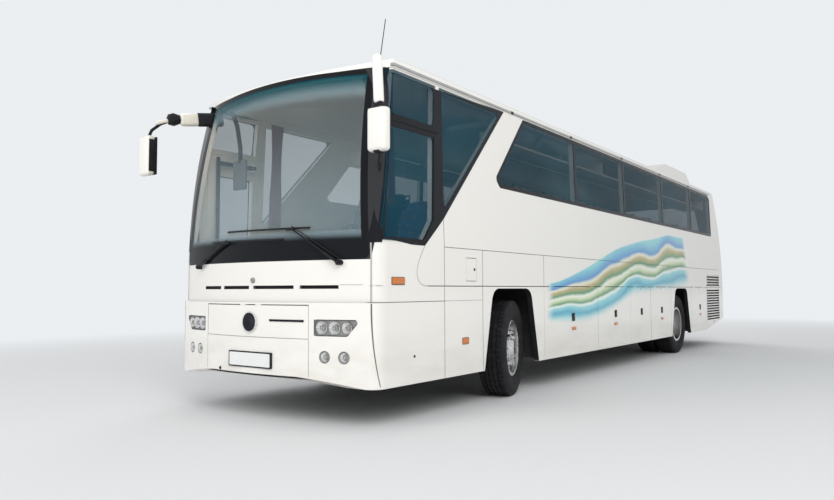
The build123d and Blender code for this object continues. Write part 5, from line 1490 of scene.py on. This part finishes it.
class COACH_OT_driver_cab(bpy.types.Operator):
    """Makes the driver's seat, instruments, inside mirror and curtains"""

    bl_idname = "coach.driver_cab"
    bl_label = "Driver's cab"

    def execute(self, context):
        seat = Piece("driver_seat_pads", slot="seat_cloth", replaces=("driver_seat",))
        lean, pivot = radians(-8), (0.6, back(1.62), 1.33)
        seat.add(cushion((0.37, back(1.19), 1.225), (0.83, back(1.66), 1.345), 0.25), "seat_moquette")
        rest = cushion((0.37, back(1.57), 1.33), (0.83, back(1.69), 2.0), 0.18, 3)
        seat.add(tilted(rest, lean, pivot), "seat_moquette")
        head = cushion((0.47, back(1.60), 1.92), (0.73, back(1.68), 2.05))
        seat.add(tilted(head, lean, pivot), "seat_moquette")
        seat.finish(60)
        base = Piece("driver_seat_base", slot="seat_cloth")
        base.add(block((0.42, 0.78), (1.24, 1.55), (0.951, 1.09), 0.02), "seat_shell")
        base.add(block((0.46, 0.74), (1.28, 1.52), (1.09, 1.225), 0.04, 3), "window_rubber")
        base.finish()

        dash = Piece("instruments", slot="dash_grey")
        dash.add(block((0.33, 0.87), (0.40, 0.62), (1.55, 1.66), 0.03, 4), "dash_plastic")
        for x, radius in ((0.47, 0.045), (0.6, 0.05), (0.73, 0.045)):
            rim = ((0.006, radius), (0.008, radius + 0.006), (0.0, radius + 0.008), (-0.01, 0.0), (0.001, 0.0))
            dash.add(lathe(rim, 32), "silver_plastic", [facing((x, back(0.622), 1.61), (0, 1, 0.3))])
        for k in range(6):
            x = -0.9 + k * 0.2
            dash.add(block((x, x + 0.15), (0.15, 0.20), (1.508, 1.520), 0.003), "trim_black")
        dash.finish()

        mirror = Piece("inside_mirror", slot="black_plastic")
        stalk = [Vector((-0.80, back(0.42), 2.93)), Vector((-0.74, back(0.44), 2.78)),
                 Vector((-0.70, back(0.45), 2.55)), Vector((-0.70, back(0.45), 2.40))]
        mirror.add(bar(stalk, 0.022, 3), "trim_black")
        mirror.add(block((-0.80, -0.61), (0.44, 0.47), (2.13, 2.43), 0.012, 3), "dash_plastic")
        mirror.add(block((-0.79, -0.62), (0.468, 0.473), (2.14, 2.42), 0.002), "mirror_glass")
        mirror.finish()

        for index, (distance, width, side) in enumerate(CURTAINS):
            def folds(u, v):
                sway = 0.016 * sin(2 * pi * CURTAIN_WAVES * u) * (1.0 - 0.35 * v)
                pull = 1.0 - 0.25 * sin(pi * min(1.0, v * 1.4))
                y = distance + width * ((u - 0.5) * pull + 0.5)
                z = 3.0 - CURTAIN_HEIGHT * v
                x = HALF - 0.05 * (z - WAIST) / 1.6 - 0.105 + sway
                return Vector((side * x, back(y), z))

            curtain = Piece(f"cab_curtain_{index + 1}", slot="seat_cloth")
            curtain.add(sheet(70, 18, folds, (-side * 0.0015, 0, 0)), "curtain_cloth")
            # The flat width is the length of a fold line, measured along the cloth
            steps = 400
            flat = sum((folds((k + 1) / steps, 0.3) - folds(k / steps, 0.3)).length for k in range(steps))
            curtain.finish(60)
        return {"FINISHED"}


class COACH_OT_cabin(bpy.types.Operator):
    """Makes the passenger seats with pads, shells and grab handles"""

    bl_idname = "coach.cabin"
    bl_label = "Cabin"

    def execute(self, context):
        places = []
        for side in SIDES:
            for row in range(SEAT_ROWS):
                distance = SEAT_START + row * SEAT_PITCH
                if side == RIGHT and WELL[0] < distance < WELL[1]:
                    continue
                places += [Matrix.Translation((side * x, back(distance), 0)) for x in (0.51, 0.94)]
        pads = Piece("passenger_seat_pads", slot="seat_cloth", replaces=("passenger_seats",))
        lean, pivot = radians(-10), (0, 0.45, 1.66)
        pads.add(cushion((-0.20, 0.005, 1.595), (0.20, 0.45, 1.695), 0.25), "seat_moquette", places)
        rest = cushion((-0.20, 0.44, 1.68), (0.20, 0.53, 2.22), 0.15, 2)
        pads.add(tilted(rest, lean, pivot), "seat_moquette", places)
        head = cushion((-0.15, 0.445, 2.17), (0.15, 0.52, 2.33))
        pads.add(tilted(head, lean, pivot), "seat_moquette", places)
        pads.finish(60)

        frames = Piece("passenger_seat_frames", slot="seat_cloth")
        shell = rounded_box((-0.205, 0.50, 1.62), (0.205, 0.535, 2.26), 0.015)
        frames.add(tilted(shell, lean, pivot), "seat_shell", places)
        frames.add(rounded_box((-0.19, 0.05, 1.57), (0.19, 0.46, 1.60), 0.01), "seat_shell", places)
        frames.add(rounded_box((-0.02, 0.12, 1.25), (0.02, 0.36, 1.575), 0.008), "chassis_paint", places)
        grip = [Vector((0.13, 0.63, 2.28)), Vector((0.17, 0.66, 2.30)), Vector((0.19, 0.63, 2.24))]
        frames.add(bar(grip, 0.010), "trim_black", places)
        frames.finish()
        return {"FINISHED"}


# Stage

FLOOR_RADIUS = 160
# Soft lamps: name, place, target, size and power
LAMPS = (
    ("key_lamp", (11, -13, 11), (0.8, -2, 1.2), 12, 1500),
    ("front_lamp", (-5, -19, 8), (0, -5, 1.5), 10, 700),
    ("rear_lamp", (-10, 12, 10), (0, 3, 1.5), 12, 900),
)


def lay_floor(scene):
    """A pale floor that fades into the backdrop."""
    bm = bmesh.new()
    bmesh.ops.create_circle(bm, cap_ends=True, segments=96, radius=FLOOR_RADIUS)
    mesh = bpy.data.meshes.new("studio_floor")
    bm.to_mesh(mesh)
    bm.free()
    floor_piece = bpy.data.objects.new("studio_floor", mesh)
    scene.collection.objects.link(floor_piece)
    finish = Finish("studio_floor", (0.72, 0.72, 0.72), 0.8)
    finish.tint(finish.noise(0.5, 6.0) * 0.15, (0.64, 0.64, 0.64))
    finish.bump(finish.noise(60.0), 0.05)
    reach = (finish.x * finish.x + finish.y * finish.y * 0.4).step(5.0 ** 2, 13.0 ** 2)
    glow = finish.tree.nodes.new("ShaderNodeEmission")
    glow.inputs["Color"].default_value = BACKDROP
    finish.surface_mix(reach, finish.shader.outputs[0], glow.outputs[0])
    mesh.materials.append(finish.material)


def light_scene(scene):
    """Soft light from all round and three soft lamps; camera and transmission rays see the backdrop."""
    world = bpy.data.worlds.new("studio")
    scene.world = world
    world.use_nodes = True
    tree = world.node_tree
    light = tree.nodes["Background"]
    light.inputs["Color"].default_value = (0.95, 0.975, 1.0, 1.0)
    light.inputs["Strength"].default_value = 0.66
    seen = tree.nodes.new("ShaderNodeBackground")
    seen.inputs["Color"].default_value = BACKDROP
    path = tree.nodes.new("ShaderNodeLightPath")
    either = tree.nodes.new("ShaderNodeMath")
    either.operation = "MAXIMUM"
    tree.links.new(path.outputs["Is Camera Ray"], either.inputs[0])
    tree.links.new(path.outputs["Is Transmission Ray"], either.inputs[1])
    mix = tree.nodes.new("ShaderNodeMixShader")
    for place, node in enumerate((either, light, seen)):
        tree.links.new(node.outputs[0], mix.inputs[place])
    tree.links.new(mix.outputs[0], tree.nodes["World Output"].inputs["Surface"])
    for name, place, target, size, power in LAMPS:
        data = bpy.data.lights.new(name, "AREA")
        data.shape = "DISK"
        data.size = size
        data.energy = power
        lamp = bpy.data.objects.new(name, data)
        scene.collection.objects.link(lamp)
        lamp.matrix_world = facing(place, Vector(place) - Vector(target))
        lamp.visible_glossy = False


def set_camera(scene):
    """The camera, where the photograph was taken."""
    ahead = Vector((-sin(CAMERA_YAW) * cos(CAMERA_PITCH), cos(CAMERA_YAW) * cos(CAMERA_PITCH), sin(CAMERA_PITCH)))
    level = Vector((cos(CAMERA_YAW), sin(CAMERA_YAW), 0))
    upright = level.cross(ahead)
    right = level * cos(CAMERA_ROLL) + upright * sin(CAMERA_ROLL)
    up = upright * cos(CAMERA_ROLL) - level * sin(CAMERA_ROLL)
    data = bpy.data.cameras.new("camera")
    data.lens = data.sensor_width * CAMERA_FOCAL
    data.clip_end = 500
    camera = bpy.data.objects.new("camera", data)
    scene.collection.objects.link(camera)
    camera.matrix_world = Matrix.Translation(CAMERA_PLACE) @ Matrix((right, up, -ahead)).transposed().to_4x4()
    scene.camera = camera


class COACH_OT_stage(bpy.types.Operator):
    """Lays the pale floor, the soft lights and the camera"""

    bl_idname = "coach.stage"
    bl_label = "Stage"

    def execute(self, context):
        lay_floor(context.scene)
        light_scene(context.scene)
        set_camera(context.scene)
        context.scene.view_settings.view_transform = "Standard"
        return {"FINISHED"}


OPERATORS = (
    COACH_OT_fixed_finishes, COACH_OT_seams, COACH_OT_arch_lips, COACH_OT_glazing_trim, COACH_OT_front_details,
    COACH_OT_lamps, COACH_OT_side_fittings, COACH_OT_mirrors, COACH_OT_wipers, COACH_OT_roof_fittings,
    COACH_OT_wheels, COACH_OT_rear_details, COACH_OT_door_trim, COACH_OT_driver_cab, COACH_OT_cabin,
    COACH_OT_stage,
)


class COACH_PT_panel(bpy.types.Panel):
    """Lists the coach's colours, sizes and pieces"""

    bl_idname = "COACH_PT_panel"
    bl_label = "Coach"
    bl_space_type = "VIEW_3D"
    bl_region_type = "UI"
    bl_category = "Coach"

    def draw(self, context):
        for group in (context.scene.coach_colours, context.scene.coach_sizes):
            for name in group.__annotations__:
                self.layout.prop(group, name)
        for operator in OPERATORS:
            self.layout.operator(operator.bl_idname)


CLASSES = (CoachColours, CoachSizes, *OPERATORS, COACH_PT_panel)


def register():
    for item in CLASSES:
        bpy.utils.register_class(item)
    bpy.types.Scene.coach_colours = PointerProperty(type=CoachColours)
    bpy.types.Scene.coach_sizes = PointerProperty(type=CoachSizes)


def unregister():
    del bpy.types.Scene.coach_sizes
    del bpy.types.Scene.coach_colours
    for item in reversed(CLASSES):
        bpy.utils.unregister_class(item)


def main():
    register()
    for operator in OPERATORS:
        group, name = operator.bl_idname.split(".")
        getattr(getattr(bpy.ops, group), name)()


if __name__ == "__main__":
    main()
